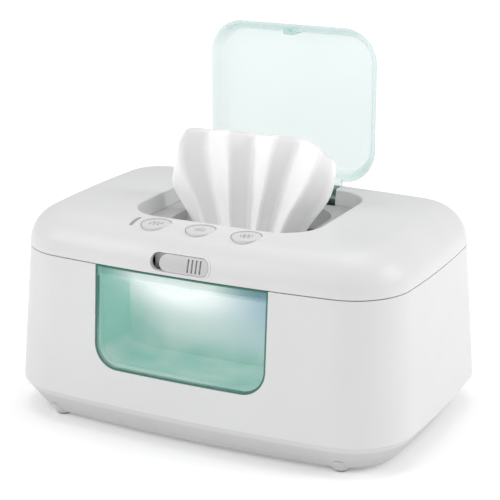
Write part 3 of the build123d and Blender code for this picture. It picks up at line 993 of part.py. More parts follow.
# ---- latch hook: slide plate behind the wall with a hook that reaches under the flange ----
with BuildPart() as latch_hook:
    with BuildSketch(front_plane(LATCH_PLATE_FRONT + LATCH_PLATE_THICKNESS)):
        with Locations((LATCH_PLATE_X, (LATCH_PLATE_TOP + LINER_TOP + FIT_GAP) / 2)):
            Rectangle(LATCH_PLATE_LENGTH, LATCH_PLATE_TOP - LINER_TOP - FIT_GAP)
        with Locations((HOOK_X, (LATCH_Z + HOOK_TOP - HOOK_THICKNESS) / 2)):
            Rectangle(HOOK_WIDTH, LATCH_Z - HOOK_TOP + HOOK_THICKNESS)
        with Locations((HOOK_X - HOOK_REACH / 2, HOOK_TOP - HOOK_THICKNESS / 2)):
            Rectangle(HOOK_WIDTH + HOOK_REACH, HOOK_THICKNESS)
    extrude(amount=LATCH_PLATE_THICKNESS)
finish(latch_hook, "latch_hook")


def lid_outline(height, draw_in):
    """Outline of the open lid at a level of the closed lid, drawn in from its rim."""
    with BuildSketch(lid_plane(height)) as sketch:
        with Locations((0, (LID_FRONT + LID_BACK) / 2 - LID_AXIS_Y)):
            RectangleRounded(2 * (LID_HALF_LENGTH - draw_in), LID_BACK - LID_FRONT - 2 * draw_in,
                             LID_CORNER - draw_in)
    return sketch.sketch


def lid_block(inset):
    """Dished block of the lid, inset from its face, with a rounded upper edge."""
    with BuildPart() as block:
        loft([lid_outline(LID_RIM, inset),
              lid_outline(LID_RIM + LID_HEIGHT - inset, LID_DRAW_IN + inset)], ruled=True)
        fillet(block.faces().sort_by(Axis.Y)[-1].edges(), LID_ROUND - inset)
    return block.part


# ---- flip lid: clear dish with two hinge arms and a hooked tab, standing open ----
with BuildPart() as lid:
    add(lid_block(0))
    add(lid_block(LID_WALL), mode=Mode.SUBTRACT)
    for x in (-LID_ARM_X, LID_ARM_X):
        with BuildSketch(lid_side_plane(x)):
            Circle(LID_KNUCKLE_RADIUS)
            with Locations(((LID_BACK - LID_WALL - LID_AXIS_Y) / 2,
                            LID_RIM + LID_ARM_THICKNESS / 2 - LID_AXIS_Z)):
                Rectangle(LID_AXIS_Y - LID_BACK + LID_WALL, LID_ARM_THICKNESS)
            Circle(LID_PIN_RADIUS + PIN_CLEARANCE, mode=Mode.SUBTRACT)
        extrude(amount=LID_ARM_WIDTH / 2, both=True)
    with BuildSketch(lid_side_plane(0)):
        Polygon(*TAB_PROFILE, align=None)
    extrude(amount=TAB_HALF_WIDTH, both=True)
finish(lid, "lid")

# ---- lid pin: one rod through the bearings and both arms ----
with BuildPart() as lid_pin:
    with BuildSketch(side_plane(0)):
        with Locations((LID_AXIS_Y, LID_AXIS_Z)):
            Circle(LID_PIN_RADIUS)
    extrude(amount=LID_PIN_HALF_LENGTH, both=True)
finish(lid_pin, "lid_pin")

# ---- lid spring: torsion coil on the rod, as a sleeve with one leg down to the liner ----
with BuildPart() as lid_spring:
    with BuildSketch(side_plane(0)):
        with Locations((LID_AXIS_Y, LID_AXIS_Z)):
            Circle(LID_PIN_RADIUS + FIT_GAP + LID_SPRING_WIRE)
            Circle(LID_PIN_RADIUS + FIT_GAP, mode=Mode.SUBTRACT)
    extrude(amount=LID_SPRING_HALF_LENGTH, both=True)
    with Locations((LID_SPRING_HALF_LENGTH - LID_SPRING_WIRE,
                    LID_AXIS_Y + LID_PIN_RADIUS + FIT_GAP + LID_SPRING_WIRE / 2, LINER_TOP + FIT_GAP)):
        Box(LID_SPRING_WIRE, LID_SPRING_WIRE, LID_AXIS_Z - LINER_TOP - FIT_GAP, align=UPRIGHT)
finish(lid_spring, "lid_spring")

# ---- control cable: from the control board round the throat to the back of the cover ----
with BuildPart() as control_cable:
    add(cable(CONTROL_CABLE, CABLE_BEND))
finish(control_cable, "control_cable")

# ---- pulled wipe: fanned wipe standing in the throat ----
with BuildPart() as pulled_wipe:
    with BuildSketch(front_plane(WIPE_MIDDLE)):
        with BuildLine():
            Polyline((-WIPE_FOOT_HALF_WIDTH, WIPE_FOOT), (WIPE_FOOT_HALF_WIDTH, WIPE_FOOT),
                     (WIPE_WAIST_HALF_WIDTH, RECESS_FLOOR), (WIPE_RIGHT, WIPE_WIDEST),
                     (WIPE_TOP_RIGHT, WIPE_TOP), (WIPE_TOP_LEFT, WIPE_TOP), (WIPE_LEFT, WIPE_WIDEST),
                     (-WIPE_WAIST_HALF_WIDTH, RECESS_FLOOR), close=True)
        make_face()
    extrude(amount=WIPE_THICKNESS / 2, both=True)
finish(pulled_wipe, "pulled_wipe")
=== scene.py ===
from math import asin, cos, pi, radians, sin

import bmesh
import bpy
from mathutils import Matrix, Vector, noise


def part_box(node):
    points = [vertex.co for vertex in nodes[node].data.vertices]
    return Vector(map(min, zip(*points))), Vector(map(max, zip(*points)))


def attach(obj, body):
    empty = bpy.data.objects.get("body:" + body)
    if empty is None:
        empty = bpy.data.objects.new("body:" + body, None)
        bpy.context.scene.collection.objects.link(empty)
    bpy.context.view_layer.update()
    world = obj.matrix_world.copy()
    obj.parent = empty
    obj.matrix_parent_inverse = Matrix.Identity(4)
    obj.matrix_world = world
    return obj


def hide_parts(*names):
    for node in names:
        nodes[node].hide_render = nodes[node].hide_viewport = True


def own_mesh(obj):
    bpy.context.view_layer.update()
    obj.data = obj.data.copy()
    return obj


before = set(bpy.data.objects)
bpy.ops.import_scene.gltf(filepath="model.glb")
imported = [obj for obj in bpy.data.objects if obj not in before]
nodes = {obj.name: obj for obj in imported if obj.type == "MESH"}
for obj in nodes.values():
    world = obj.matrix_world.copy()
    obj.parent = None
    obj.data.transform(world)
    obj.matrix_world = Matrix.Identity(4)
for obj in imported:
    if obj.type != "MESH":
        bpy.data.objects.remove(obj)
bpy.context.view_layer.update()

# ---- camera: seen from the front right and a little above ----
# A long lens at about a metre, as for a catalogue, so that the upright edges stay nearly
# upright and the cover's far corner closes in only a little.
CAMERA_PLACE = (0.4076, -0.8106, 0.3796)
CAMERA_TURN = radians(26.46)
CAMERA_TILT = radians(90 - 17.76)      # 90 degrees looks level, less looks down
CAMERA_LENS = 111.65
SENSOR_WIDTH = 36.0
CAMERA_SHIFT = (-0.0099, 0.029)
camera = bpy.data.objects.new("camera", bpy.data.cameras.new("camera"))
camera.data.lens = CAMERA_LENS
camera.data.sensor_width = SENSOR_WIDTH
camera.data.shift_x, camera.data.shift_y = CAMERA_SHIFT
camera.location = CAMERA_PLACE
camera.rotation_euler = (CAMERA_TILT, 0, CAMERA_TURN)
bpy.context.scene.collection.objects.link(camera)
bpy.context.scene.camera = camera

# ---- stage: white table and soft lamps ----
# The table is a wide sheet of matt white board that glows a little, less close to the
# object, so that it stays paper-white. Large lamps stand at the left front, at the right
# end and overhead.
PURE_WHITE = (1, 1, 1, 1)
FLOOR_HALF = 6.0
FLOOR_WHITE = (0.95, 0.95, 0.95)
FLOOR_ROUGHNESS = 0.9
FLOOR_SHINE = 0.1
FLOOR_GLOW_NEAR = 0.15
FLOOR_GLOW_FAR = 0.44
FLOOR_GLOW_START = 0.30
FLOOR_GLOW_END = 1.30
WORLD_STRENGTH = 0.53
LAMP_TARGET = (0, 0, 0.08)
# Each lamp's name, place, size in metres and power in watts.
LAMPS = (("key", (-1.15, -1.35, 1.2), 1.0, 11.4),
         ("side", (1.45, 0.45, 0.9), 0.9, 10.5),
         ("top", (-0.1, 0.1, 1.7), 1.2, 8.8))


def mesh_object(name, mesh):
    """Links a mesh as a smooth-shaded object."""
    mesh.shade_smooth()
    made = bpy.data.objects.new(name, mesh)
    bpy.context.scene.collection.objects.link(made)
    return made


def from_bmesh(name, bm):
    """Turns a finished bmesh into a linked object."""
    mesh = bpy.data.meshes.new(name)
    bm.to_mesh(mesh)
    bm.free()
    return mesh_object(name, mesh)


def soft_lamp(name, place, size, power):
    """Square area lamp that faces the object."""
    light = bpy.data.lights.new(name, "AREA")
    light.size = size
    light.energy = power
    lamp = bpy.data.objects.new(name, light)
    lamp.location = place
    aim = Vector(LAMP_TARGET) - Vector(place)
    lamp.rotation_euler = aim.to_track_quat("-Z", "Y").to_euler()
    bpy.context.scene.collection.objects.link(lamp)


board = bmesh.new()
bmesh.ops.create_grid(board, x_segments=1, y_segments=1, size=FLOOR_HALF)
floor = from_bmesh("floor", board)
floor_finish = bpy.data.materials.new("white board")
floor_finish.use_nodes = True
paper_tree = floor_finish.node_tree
paper = paper_tree.nodes["Principled BSDF"].inputs
paper["Base Color"].default_value = (*FLOOR_WHITE, 1)
paper["Roughness"].default_value = FLOOR_ROUGHNESS
paper["Specular IOR Level"].default_value = FLOOR_SHINE
paper["Emission Color"].default_value = PURE_WHITE
on_floor = paper_tree.nodes.new("ShaderNodeTexCoord").outputs["Object"]
from_middle = paper_tree.nodes.new("ShaderNodeVectorMath")
from_middle.operation = "LENGTH"
paper_tree.links.new(on_floor, from_middle.inputs[0])
further = paper_tree.nodes.new("ShaderNodeMapRange")
for label, value in (("From Min", FLOOR_GLOW_START), ("From Max", FLOOR_GLOW_END),
                     ("To Min", FLOOR_GLOW_NEAR), ("To Max", FLOOR_GLOW_FAR)):
    further.inputs[label].default_value = value
paper_tree.links.new(from_middle.outputs["Value"], further.inputs["Value"])
paper_tree.links.new(further.outputs["Result"], paper["Emission Strength"])
floor.data.materials.append(floor_finish)
for lamp_name, place, size, power in LAMPS:
    soft_lamp(lamp_name, place, size, power)
world = bpy.data.worlds.new("even white")
world.use_nodes = True
surroundings = world.node_tree.nodes["Background"].inputs
surroundings["Color"].default_value = PURE_WHITE
surroundings["Strength"].default_value = WORLD_STRENGTH
bpy.context.scene.world = world
bpy.context.scene.view_settings.view_transform = "Standard"

# ---- base pan: grey moulded tray with four legs ----
# Injection-moulded in one piece with a fine spark-eroded texture that takes the shine off.
# Its upper band is painted lighter, a painted highlight where the tray flares out to meet the housing.
BASE_GREY = (0.57, 0.57, 0.575)
# Painted highlight: a lighter grey on the pan's upper band.
BASE_PAINTED_HIGHLIGHT = (0.64, 0.64, 0.645)
BASE_EDGE_START = 0.0150       # heights between which the edge's tone comes in
BASE_EDGE_END = 0.0165
# Patterns of every moulding: how many marks to the metre, and how strong they are.
MOULD_FLOW = 22
MOULD_FLOW_SHADE = 0.975
MOULD_SHEEN = 160
MOULD_SHEEN_SPREAD = (-0.04, 0.05)
MOULD_GRAIN = 2600
MOULD_GRAIN_DEPTH = 0.00004


def shader(name):
    """New material with its node tree, its shader and its object coordinates."""
    material = bpy.data.materials.new(name)
    material.use_nodes = True
    tree = material.node_tree
    coordinates = tree.nodes.new("ShaderNodeTexCoord").outputs["Object"]
    return material, tree, tree.nodes["Principled BSDF"], coordinates


def calc(tree, operation, *values):
    """Math node on sockets and numbers."""
    node = tree.nodes.new("ShaderNodeMath")
    node.operation = operation
    for socket, value in zip(node.inputs, values):
        if isinstance(value, (int, float)):
            socket.default_value = value
        else:
            tree.links.new(value, socket)
    return node.outputs[0]


def split(tree, coordinates):
    """The x, y and z of a vector socket."""
    parts = tree.nodes.new("ShaderNodeSeparateXYZ")
    tree.links.new(coordinates, parts.inputs["Vector"])
    return parts.outputs["X"], parts.outputs["Y"], parts.outputs["Z"]


def waves(tree, coordinates, scale, detail=3.0):
    """Noise over the object, with so many waves to the metre."""
    texture = tree.nodes.new("ShaderNodeTexNoise")
    texture.inputs["Scale"].default_value = scale
    texture.inputs["Detail"].default_value = detail
    tree.links.new(coordinates, texture.inputs["Vector"])
    return texture.outputs["Fac"]


def product(tree, *values):
    """Several sockets multiplied together."""
    result = values[0]
    for value in values[1:]:
        result = calc(tree, "MULTIPLY", result, value)
    return result


def greatest(tree, *values):
    """The greatest of several sockets."""
    result = values[0]
    for value in values[1:]:
        result = calc(tree, "MAXIMUM", result, value)
    return result


def spread(tree, value, low, high, start=0.3, end=0.7):
    """A value mapped from start..end to low..high, and held there outside."""
    span = tree.nodes.new("ShaderNodeMapRange")
    span.inputs["From Min"].default_value = start
    span.inputs["From Max"].default_value = end
    span.inputs["To Min"].default_value = low
    span.inputs["To Max"].default_value = high
    tree.links.new(value, span.inputs["Value"])
    return span.outputs["Result"]


def tone(tree, value, first, second):
    """From the first colour to the second as the value goes from 0 to 1."""
    mix = tree.nodes.new("ShaderNodeMix")
    mix.data_type = "RGBA"
    for slot, colour in (("A", first), ("B", second)):
        socket = [each for each in mix.inputs if each.name == slot and each.type == "RGBA"][0]
        if isinstance(colour, tuple):
            socket.default_value = (*colour, 1)
        else:
            tree.links.new(colour, socket)
    tree.links.new(value, mix.inputs["Factor"])
    return [each for each in mix.outputs if each.type == "RGBA"][0]


def relief(tree, principled, height, strength, distance):
    """Fine bump on a shader."""
    bump = tree.nodes.new("ShaderNodeBump")
    bump.inputs["Strength"].default_value = strength
    bump.inputs["Distance"].default_value = distance
    tree.links.new(height, bump.inputs["Height"])
    tree.links.new(bump.outputs["Normal"], principled.inputs["Normal"])


def shaded(colour, share):
    """A colour made darker or lighter by a share."""
    return tuple(channel * share for channel in colour)


def moulded_plastic(name, colour, roughness, grain=0.15, inlay=None):
    """Moulded plastic: spark-eroded grain, flow marks in the tone and in the shine.
    inlay gives a second colour and where it lies, as a function of tree and coordinates."""
    material, tree, principled, coordinates = shader(name)
    flow = spread(tree, waves(tree, coordinates, MOULD_FLOW, 2), 0, 1)
    surface = tone(tree, flow, shaded(colour, MOULD_FLOW_SHADE), colour)
    if inlay:
        second, where = inlay
        surface = tone(tree, where(tree, coordinates), surface, second)
    tree.links.new(surface, principled.inputs["Base Color"])
    sheen = waves(tree, coordinates, MOULD_SHEEN, 4)
    smoothest, roughest = [roughness + change for change in MOULD_SHEEN_SPREAD]
    tree.links.new(spread(tree, sheen, smoothest, roughest), principled.inputs["Roughness"])
    relief(tree, principled, waves(tree, coordinates, MOULD_GRAIN, 2), grain, MOULD_GRAIN_DEPTH)
    return material


def dress(material, *names):
    """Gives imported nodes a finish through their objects' own slots."""
    for name in names:
        for each in nodes[name].material_slots:
            each.link = "OBJECT"
            each.material = material


def painted_edge_highlight(tree, coordinates):
    """1 on the band of the pan under the case seam, where the highlight is painted."""
    return spread(tree, split(tree, coordinates)[2], 0, 1, BASE_EDGE_START, BASE_EDGE_END)


dress(moulded_plastic("grey base plastic", BASE_GREY, roughness=0.5, grain=0.3,
                      inlay=(BASE_PAINTED_HIGHLIGHT, painted_edge_highlight)), "base_pan")

# ---- rubber pads: one glued into each leg ----
# Punched from grey sheet rubber, matt and slightly dusty, and set in a recess under the leg,
# so that only its lower face touches the table.
RUBBER_GREY = (0.20, 0.20, 0.203)
RUBBER_MOTTLE = 300
RUBBER_MOTTLE_SHADE = 1.25
RUBBER_GRAIN = 1800
RUBBER_GRAIN_STRENGTH = 0.4
RUBBER_GRAIN_DEPTH = 0.00006


def soft_rubber(name, colour, roughness):
    """Rubber or silicone: mottled tone, matt grain."""
    material, tree, principled, coordinates = shader(name)
    mottle = spread(tree, waves(tree, coordinates, RUBBER_MOTTLE, 5), 0, 1)
    surface = tone(tree, mottle, colour, shaded(colour, RUBBER_MOTTLE_SHADE))
    tree.links.new(surface, principled.inputs["Base Color"])
    principled.inputs["Roughness"].default_value = roughness
    grain = waves(tree, coordinates, RUBBER_GRAIN, 4)
    relief(tree, principled, grain, RUBBER_GRAIN_STRENGTH, RUBBER_GRAIN_DEPTH)
    return material


dress(soft_rubber("grey rubber", RUBBER_GREY, roughness=0.8), "rubber_pads")

# ---- screws and pins: zinc-plated steel ----
# Thread-forming screws hold the base, the boards and the cover's liner. The cover and the
# lid turn on plain pins, bright but lightly drawn.
ZINC = (0.62, 0.62, 0.63)
DRAWN_LINES = 900
DRAWN_SHADE = 0.8
DRAWN_SPREAD = (-0.08, 0.1)
DRAWN_STRENGTH = 0.12
DRAWN_DEPTH = 0.00003


def plated_steel(name, colour, roughness):
    """Bright metal with fine drawn lines."""
    material, tree, principled, coordinates = shader(name)
    streak = waves(tree, coordinates, DRAWN_LINES, 6)
    surface = tone(tree, spread(tree, streak, 0, 1), shaded(colour, DRAWN_SHADE), colour)
    tree.links.new(surface, principled.inputs["Base Color"])
    smoothest, roughest = [roughness + change for change in DRAWN_SPREAD]
    tree.links.new(spread(tree, streak, smoothest, roughest), principled.inputs["Roughness"])
    principled.inputs["Metallic"].default_value = 1.0
    relief(tree, principled, streak, DRAWN_STRENGTH, DRAWN_DEPTH)
    return material


dress(plated_steel("zinc plate", ZINC, roughness=0.32), "base_screws", "board_screws",
      "liner_screws", "control_screws", "cover_hinge_pins", "lid_pin")

# ---- housing and top cover: white outer shells ----
# Two semi-gloss mouldings in the same near-white, with a thin shadow gap between them. The
# recess round the dispensing opening has painted shade: a soft grey on its floor and less of it
# on its walls.
SHELL_WHITE = (0.72, 0.72, 0.722)
SHELL_ROUGHNESS = 0.38
SHELL_GRAIN = 0.08
# Painted shade in the recess, in place of its shadow on the white plastic.
RECESS_PAINTED_SHADE = (0.45, 0.45, 0.448)
RECESS_WALL_SHARE = 0.30       # of that grey, on the walls above the floor
# Where the painted shade ends: at the floor, at both ends, at the front and back, and at the rim.
RECESS_FLOOR = 0.1181
RECESS_END = 0.0606
RECESS_FRONT = -0.0500
RECESS_BACK = 0.0560
RECESS_RIM = 0.1270
MASK_EDGE = 0.0006


def in_painted_recess_shade(tree, coordinates):
    """Painted shade: 1 inside the recess of the top cover, below its rounded rim, less on its walls."""
    across, along, up = split(tree, coordinates)
    ends = spread(tree, calc(tree, "ABSOLUTE", across), 1, 0, RECESS_END, RECESS_END + MASK_EDGE)
    front = spread(tree, along, 0, 1, RECESS_FRONT - MASK_EDGE, RECESS_FRONT)
    back = spread(tree, along, 1, 0, RECESS_BACK, RECESS_BACK + MASK_EDGE)
    below = spread(tree, up, 1, 0, RECESS_RIM, RECESS_RIM + MASK_EDGE)
    floor = spread(tree, up, 1, RECESS_WALL_SHARE, RECESS_FLOOR, RECESS_FLOOR + MASK_EDGE)
    return product(tree, ends, below, front, back, floor)


dress(moulded_plastic("white shell plastic", SHELL_WHITE, SHELL_ROUGHNESS, SHELL_GRAIN), "housing")
dress(moulded_plastic("white cover plastic", SHELL_WHITE, SHELL_ROUGHNESS, SHELL_GRAIN,
                      inlay=(RECESS_PAINTED_SHADE, in_painted_recess_shade)), "top_cover")

# ---- tub, liner and catch: inner mouldings ----
# Moulded in mid-grey and unpolished, because they show only with the cover open. The latch's
# slide plate is painted paler, painted light in the shaded slot where its end shows beside the
# knob. The seal is soft silicone.
INNER_GREY = (0.42, 0.42, 0.42)
# Painted light: the slide plate's pale grey lifts the shade in the knob's slot.
PLATE_PAINTED_LIGHT = (0.78, 0.78, 0.78)
SILICONE_GREY = (0.50, 0.51, 0.52)
dress(moulded_plastic("grey inner plastic", INNER_GREY, roughness=0.55, grain=0.35),
      "tub", "cover_liner", "lid_catch")
dress(moulded_plastic("pale latch plate", PLATE_PAINTED_LIGHT, roughness=0.5, grain=0.2), "latch_hook")
dress(soft_rubber("pale silicone", SILICONE_GREY, roughness=0.6), "cover_seal")

# ---- window pane: sea-green clear plastic ----
# A thin pane follows the bowed front. Its edge gathers the tint into a dark line, with a
# paler bevel inside it. A painted glow near its top stands for the lamps behind it, with
# painted bluish light towards the right.
PANE_GREEN = (0.10, 0.42, 0.33)
PANE_PALE = (0.42, 0.66, 0.59)
PANE_DARK = (0.03, 0.17, 0.125)
# Painted light: a bluish tint towards the right, and the colours of the painted glow.
PANE_PAINTED_BLUE = (0.17, 0.36, 0.41)
GLOW_WHITE = (1.0, 1.0, 1.0)
GLOW_PALE = (0.80, 0.93, 0.91)
GLOW_COOL = (0.96, 1.0, 1.0)
pane_low, pane_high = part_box("window_pane")
PANE_MIDDLE = 0.5 * (pane_low.x + pane_high.x)
PANE_HALF = 0.5 * (pane_high.x - pane_low.x)
PANE_FLOW = 30
PANE_FLOW_SHADE = 0.93
PANE_ROUGHNESS = 0.08
PANE_GLOW = 0.08
PANE_CORNER = 0.015
PANE_LINE = 0.0010             # width of the dark line
PANE_LINE_FADE = 0.0005
PANE_TOP_LINE = 0.1027         # height where the line along the top starts
PANE_BEVEL = 0.0034            # width of the bevel and line together
PANE_BEVEL_FADE = 0.0015
BEVEL_LEFT_OVER = (0.25, 0.35) # its shares at the right and at the top
# Where the bevel's tint and the painted bluish light come in or go, across the pane and up it.
BEVEL_ACROSS = (0.2 * PANE_HALF, 0.9 * PANE_HALF)
BEVEL_UP = (pane_low.z + 0.020, pane_low.z + 0.045)
PANE_PAINTED_BLUE_ACROSS = (0, 0.8 * PANE_HALF)
PANE_PAINTED_BLUE_UP = (0.068, 0.090)
PANE_TOP_BAND = (0.0955, 0.0985)
# How filled in the pane is, from the rest of it to its bevel, line, top band and lit part.
FILLED_BEVEL = (0.20, 0.40)
FILLED_LINE = (0, 0.95)
FILLED_BAND = (0, 0.62)
FILLED_LIT = (0, 0.32)
PANE_LIGHT = (PANE_MIDDLE - 0.004, pane_low.y, pane_high.z)
PANE_LIGHT_REACH = (0.060, 0.05, 0.026)


def edge_distance(tree, coordinates):
    """Distance in from the sides and the rounded bottom of the window."""
    across, _, up = split(tree, coordinates)
    side = calc(tree, "ABSOLUTE", calc(tree, "SUBTRACT", across, PANE_MIDDLE))
    past_side = calc(tree, "SUBTRACT", side, PANE_HALF - PANE_CORNER)
    past_bottom = calc(tree, "SUBTRACT", pane_low.z + PANE_CORNER, up)
    wide = calc(tree, "POWER", calc(tree, "MAXIMUM", past_side, 0.0), 2.0)
    tall = calc(tree, "POWER", calc(tree, "MAXIMUM", past_bottom, 0.0), 2.0)
    reach = calc(tree, "SQRT", calc(tree, "ADD", wide, tall))
    inner = calc(tree, "MINIMUM", calc(tree, "MAXIMUM", past_side, past_bottom), 0.0)
    return calc(tree, "SUBTRACT", PANE_CORNER, calc(tree, "ADD", reach, inner))


def glow_spot(tree, coordinates, centre, reach):
    """1 at a centre, falling smoothly to 0 on an ellipsoid round it."""
    place = tree.nodes.new("ShaderNodeMapping")
    place.vector_type = "TEXTURE"
    place.inputs["Location"].default_value = centre
    place.inputs["Scale"].default_value = reach
    tree.links.new(coordinates, place.inputs["Vector"])
    ball = tree.nodes.new("ShaderNodeTexGradient")
    ball.gradient_type = "QUADRATIC_SPHERE"
    tree.links.new(place.outputs["Vector"], ball.inputs["Vector"])
    return ball.outputs["Fac"]


def window_plastic():
    """Clear tinted pane with its dark edge, pale bevel and a painted glow in its top."""
    material, tree, principled, coordinates = shader("sea-green pane")
    across, _, up = split(tree, coordinates)
    inside = edge_distance(tree, coordinates)
    line = greatest(tree, spread(tree, inside, 1, 0, PANE_LINE, PANE_LINE + PANE_LINE_FADE),
                    spread(tree, up, 0, 1, PANE_TOP_LINE, PANE_TOP_LINE + PANE_LINE_FADE))
    at_right, at_top = BEVEL_LEFT_OVER
    bevel = product(tree, spread(tree, inside, 1, 0, PANE_BEVEL, PANE_BEVEL + PANE_BEVEL_FADE),
                    spread(tree, across, 1, at_right, *BEVEL_ACROSS),
                    spread(tree, up, 1, at_top, *BEVEL_UP))
    flow = spread(tree, waves(tree, coordinates, PANE_FLOW, 2), 0, 1)
    green = tone(tree, flow, shaded(PANE_GREEN, PANE_FLOW_SHADE), PANE_GREEN)
    # Painted bluish light, towards the right and the top.
    bluish = product(tree, spread(tree, across, 0, 1, *PANE_PAINTED_BLUE_ACROSS),
                     spread(tree, up, 0, 1, *PANE_PAINTED_BLUE_UP))
    body = tone(tree, bluish, green, PANE_PAINTED_BLUE)
    edged = tone(tree, line, tone(tree, bevel, body, PANE_PALE), PANE_DARK)
    # Painted glow: a spot of light near the top, where the lamps sit behind the pane.
    lit = glow_spot(tree, coordinates, PANE_LIGHT, PANE_LIGHT_REACH)
    clear = product(tree, lit, calc(tree, "SUBTRACT", 1.0, line))
    glowing = tone(tree, spread(tree, clear, 0, 1, 0, 0.3), edged, GLOW_PALE)
    tree.links.new(glowing, principled.inputs["Base Color"])
    alpha = greatest(tree, spread(tree, bevel, *FILLED_BEVEL, 0, 1),
                     spread(tree, line, *FILLED_LINE, 0, 1),
                     spread(tree, up, *FILLED_BAND, *PANE_TOP_BAND),
                     spread(tree, lit, *FILLED_LIT, 0.03, 0.5))
    tree.links.new(alpha, principled.inputs["Alpha"])
    principled.inputs["Emission Color"].default_value = (*GLOW_COOL, 1)
    tree.links.new(spread(tree, clear, 0, PANE_GLOW, 0, 0.6), principled.inputs["Emission Strength"])
    principled.inputs["Roughness"].default_value = PANE_ROUGHNESS
    return material


dress(window_plastic(), "window_pane")

# ---- light box: sea-green tray behind the window ----
# Moulded from the same tinted plastic. Its milky back and its walls are drawn in painted glow:
# white near the lamps, painted bluish light to the right, and painted shade sinking into
# green at the bottom and the left end.
TRAY_GREEN = (0.24, 0.44, 0.385)
TRAY_LOW = (0.42, 0.51, 0.475)
# Painted light on the back: a pale glow and, towards the right, a bluish one.
TRAY_PAINTED_PALE = (0.60, 0.65, 0.65)
TRAY_PAINTED_BLUE = (0.29, 0.445, 0.555)
TRAY_BODY = (0.05, 0.10, 0.085)
TRAY_FLOW = 45
TRAY_FLOW_SHADE = 0.9
TRAY_ROUGHNESS = 0.3
PAINTED_PALE_AT_LEFT = 0.15           # share of the painted pale light at the left end
PAINTED_BLUE_AT_BOTTOM = 0.35          # share of the painted blue light at the bottom
LIT_ON_WALLS = 0.12            # share of the light on the walls beside the back
LIT_WHITENESS = 0.95
tray_low, tray_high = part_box("light_box")
# Where the back, the wall of the left end and the painted light and shade on the back begin and end.
TRAY_BACK = (tray_high.y - 0.0032, tray_high.y - 0.0022)
TRAY_END = (tray_low.x + 0.002, tray_low.x + 0.004)
TRAY_PAINTED_PALE_UP = (tray_low.z + 0.002, tray_low.z + 0.015)
TRAY_PAINTED_PALE_ACROSS = (tray_low.x + 0.008, tray_low.x + 0.030)
TRAY_PAINTED_BLUE_ACROSS = (-0.012, 0.026)
TRAY_PAINTED_BLUE_UP = (0.062, 0.078)
TRAY_LIGHT = (-0.019, tray_high.y, 0.081)
TRAY_LIGHT_REACH = (0.072, 0.040, 0.034)


def tray_plastic():
    """Tinted tray drawn in painted glow, with a painted pool of light from the lamps in its top."""
    material, tree, principled, coordinates = shader("sea-green light tray")
    across, along, up = split(tree, coordinates)
    back = spread(tree, along, 0, 1, *TRAY_BACK)
    # Painted shade: the left end wall keeps the deeper green.
    past_end = spread(tree, across, 0, 1, *TRAY_END)
    milky = product(tree, back, spread(tree, up, 0, 1, *TRAY_PAINTED_PALE_UP),
                    spread(tree, across, PAINTED_PALE_AT_LEFT, 1, *TRAY_PAINTED_PALE_ACROSS))
    flow = spread(tree, waves(tree, coordinates, TRAY_FLOW, 3), 0, 1)
    green = tone(tree, flow, shaded(TRAY_GREEN, TRAY_FLOW_SHADE),
                 tone(tree, past_end, TRAY_GREEN, TRAY_LOW))
    bluish = product(tree, spread(tree, across, 0, 1, *TRAY_PAINTED_BLUE_ACROSS),
                     spread(tree, up, PAINTED_BLUE_AT_BOTTOM, 1, *TRAY_PAINTED_BLUE_UP))
    wall = tone(tree, milky, green, tone(tree, bluish, TRAY_PAINTED_PALE, TRAY_PAINTED_BLUE))
    lit = product(tree, glow_spot(tree, coordinates, TRAY_LIGHT, TRAY_LIGHT_REACH),
                  spread(tree, back, LIT_ON_WALLS, 1, 0, 1))
    glowing = tone(tree, spread(tree, lit, 0, LIT_WHITENESS, 0, 0.55), wall, GLOW_WHITE)
    # All the tray's colour is painted glow, emitted over a near-black body.
    tree.links.new(glowing, principled.inputs["Emission Color"])
    principled.inputs["Emission Strength"].default_value = 1.0
    principled.inputs["Base Color"].default_value = (*TRAY_BODY, 1)
    principled.inputs["Roughness"].default_value = TRAY_ROUGHNESS
    return material


dress(tray_plastic(), "light_box")

# ---- lamps: cast epoxy ----
# Clear epoxy domes over the chips under the night-light board, lit, and a slim lens of the
# same epoxy, unlit and grey, in the cover beside the buttons.
LAMP_COOL = (0.85, 0.94, 1.0)
LAMP_GLOW = 2.5
INDICATOR_GREY = (0.36, 0.37, 0.37)
EPOXY_HAZE = 500
EPOXY_HAZE_SHADE = 0.9
EPOXY_ROUGHNESS = 0.15


def lamp_epoxy(name, colour, glow):
    """Milky epoxy with a glow of its own."""
    material, tree, principled, coordinates = shader(name)
    haze = spread(tree, waves(tree, coordinates, EPOXY_HAZE, 2), 0, 1)
    hazy = tone(tree, haze, shaded(colour, EPOXY_HAZE_SHADE), colour)
    tree.links.new(hazy, principled.inputs["Base Color"])
    principled.inputs["Roughness"].default_value = EPOXY_ROUGHNESS
    principled.inputs["Emission Color"].default_value = (*colour, 1)
    principled.inputs["Emission Strength"].default_value = glow
    return material


dress(lamp_epoxy("lit epoxy", LAMP_COOL, LAMP_GLOW), "led_lamps")
dress(lamp_epoxy("indicator epoxy", INDICATOR_GREY, glow=0.0), "indicator_light")

# ---- boards and wiring: laminate, moulded components and sheathed wire ----
# Glass-fibre laminate under green resist carries black moulded components, with the power
# socket at the back and a push switch under each button. The wire's sheath is black.
LAMINATE_GREEN = (0.02, 0.15, 0.06)
COMPONENT_BLACK = (0.02, 0.02, 0.02)
SHEATH_BLACK = (0.015, 0.015, 0.016)
dress(moulded_plastic("green laminate", LAMINATE_GREEN, roughness=0.35, grain=0.2),
      "led_board", "power_board", "control_board")
dress(moulded_plastic("black component body", COMPONENT_BLACK, roughness=0.4, grain=0.2),
      "power_components", "dc_inlet", "push_switches")
dress(soft_rubber("black wire sheath", SHEATH_BLACK, roughness=0.5), "wiring_harness", "control_cable")

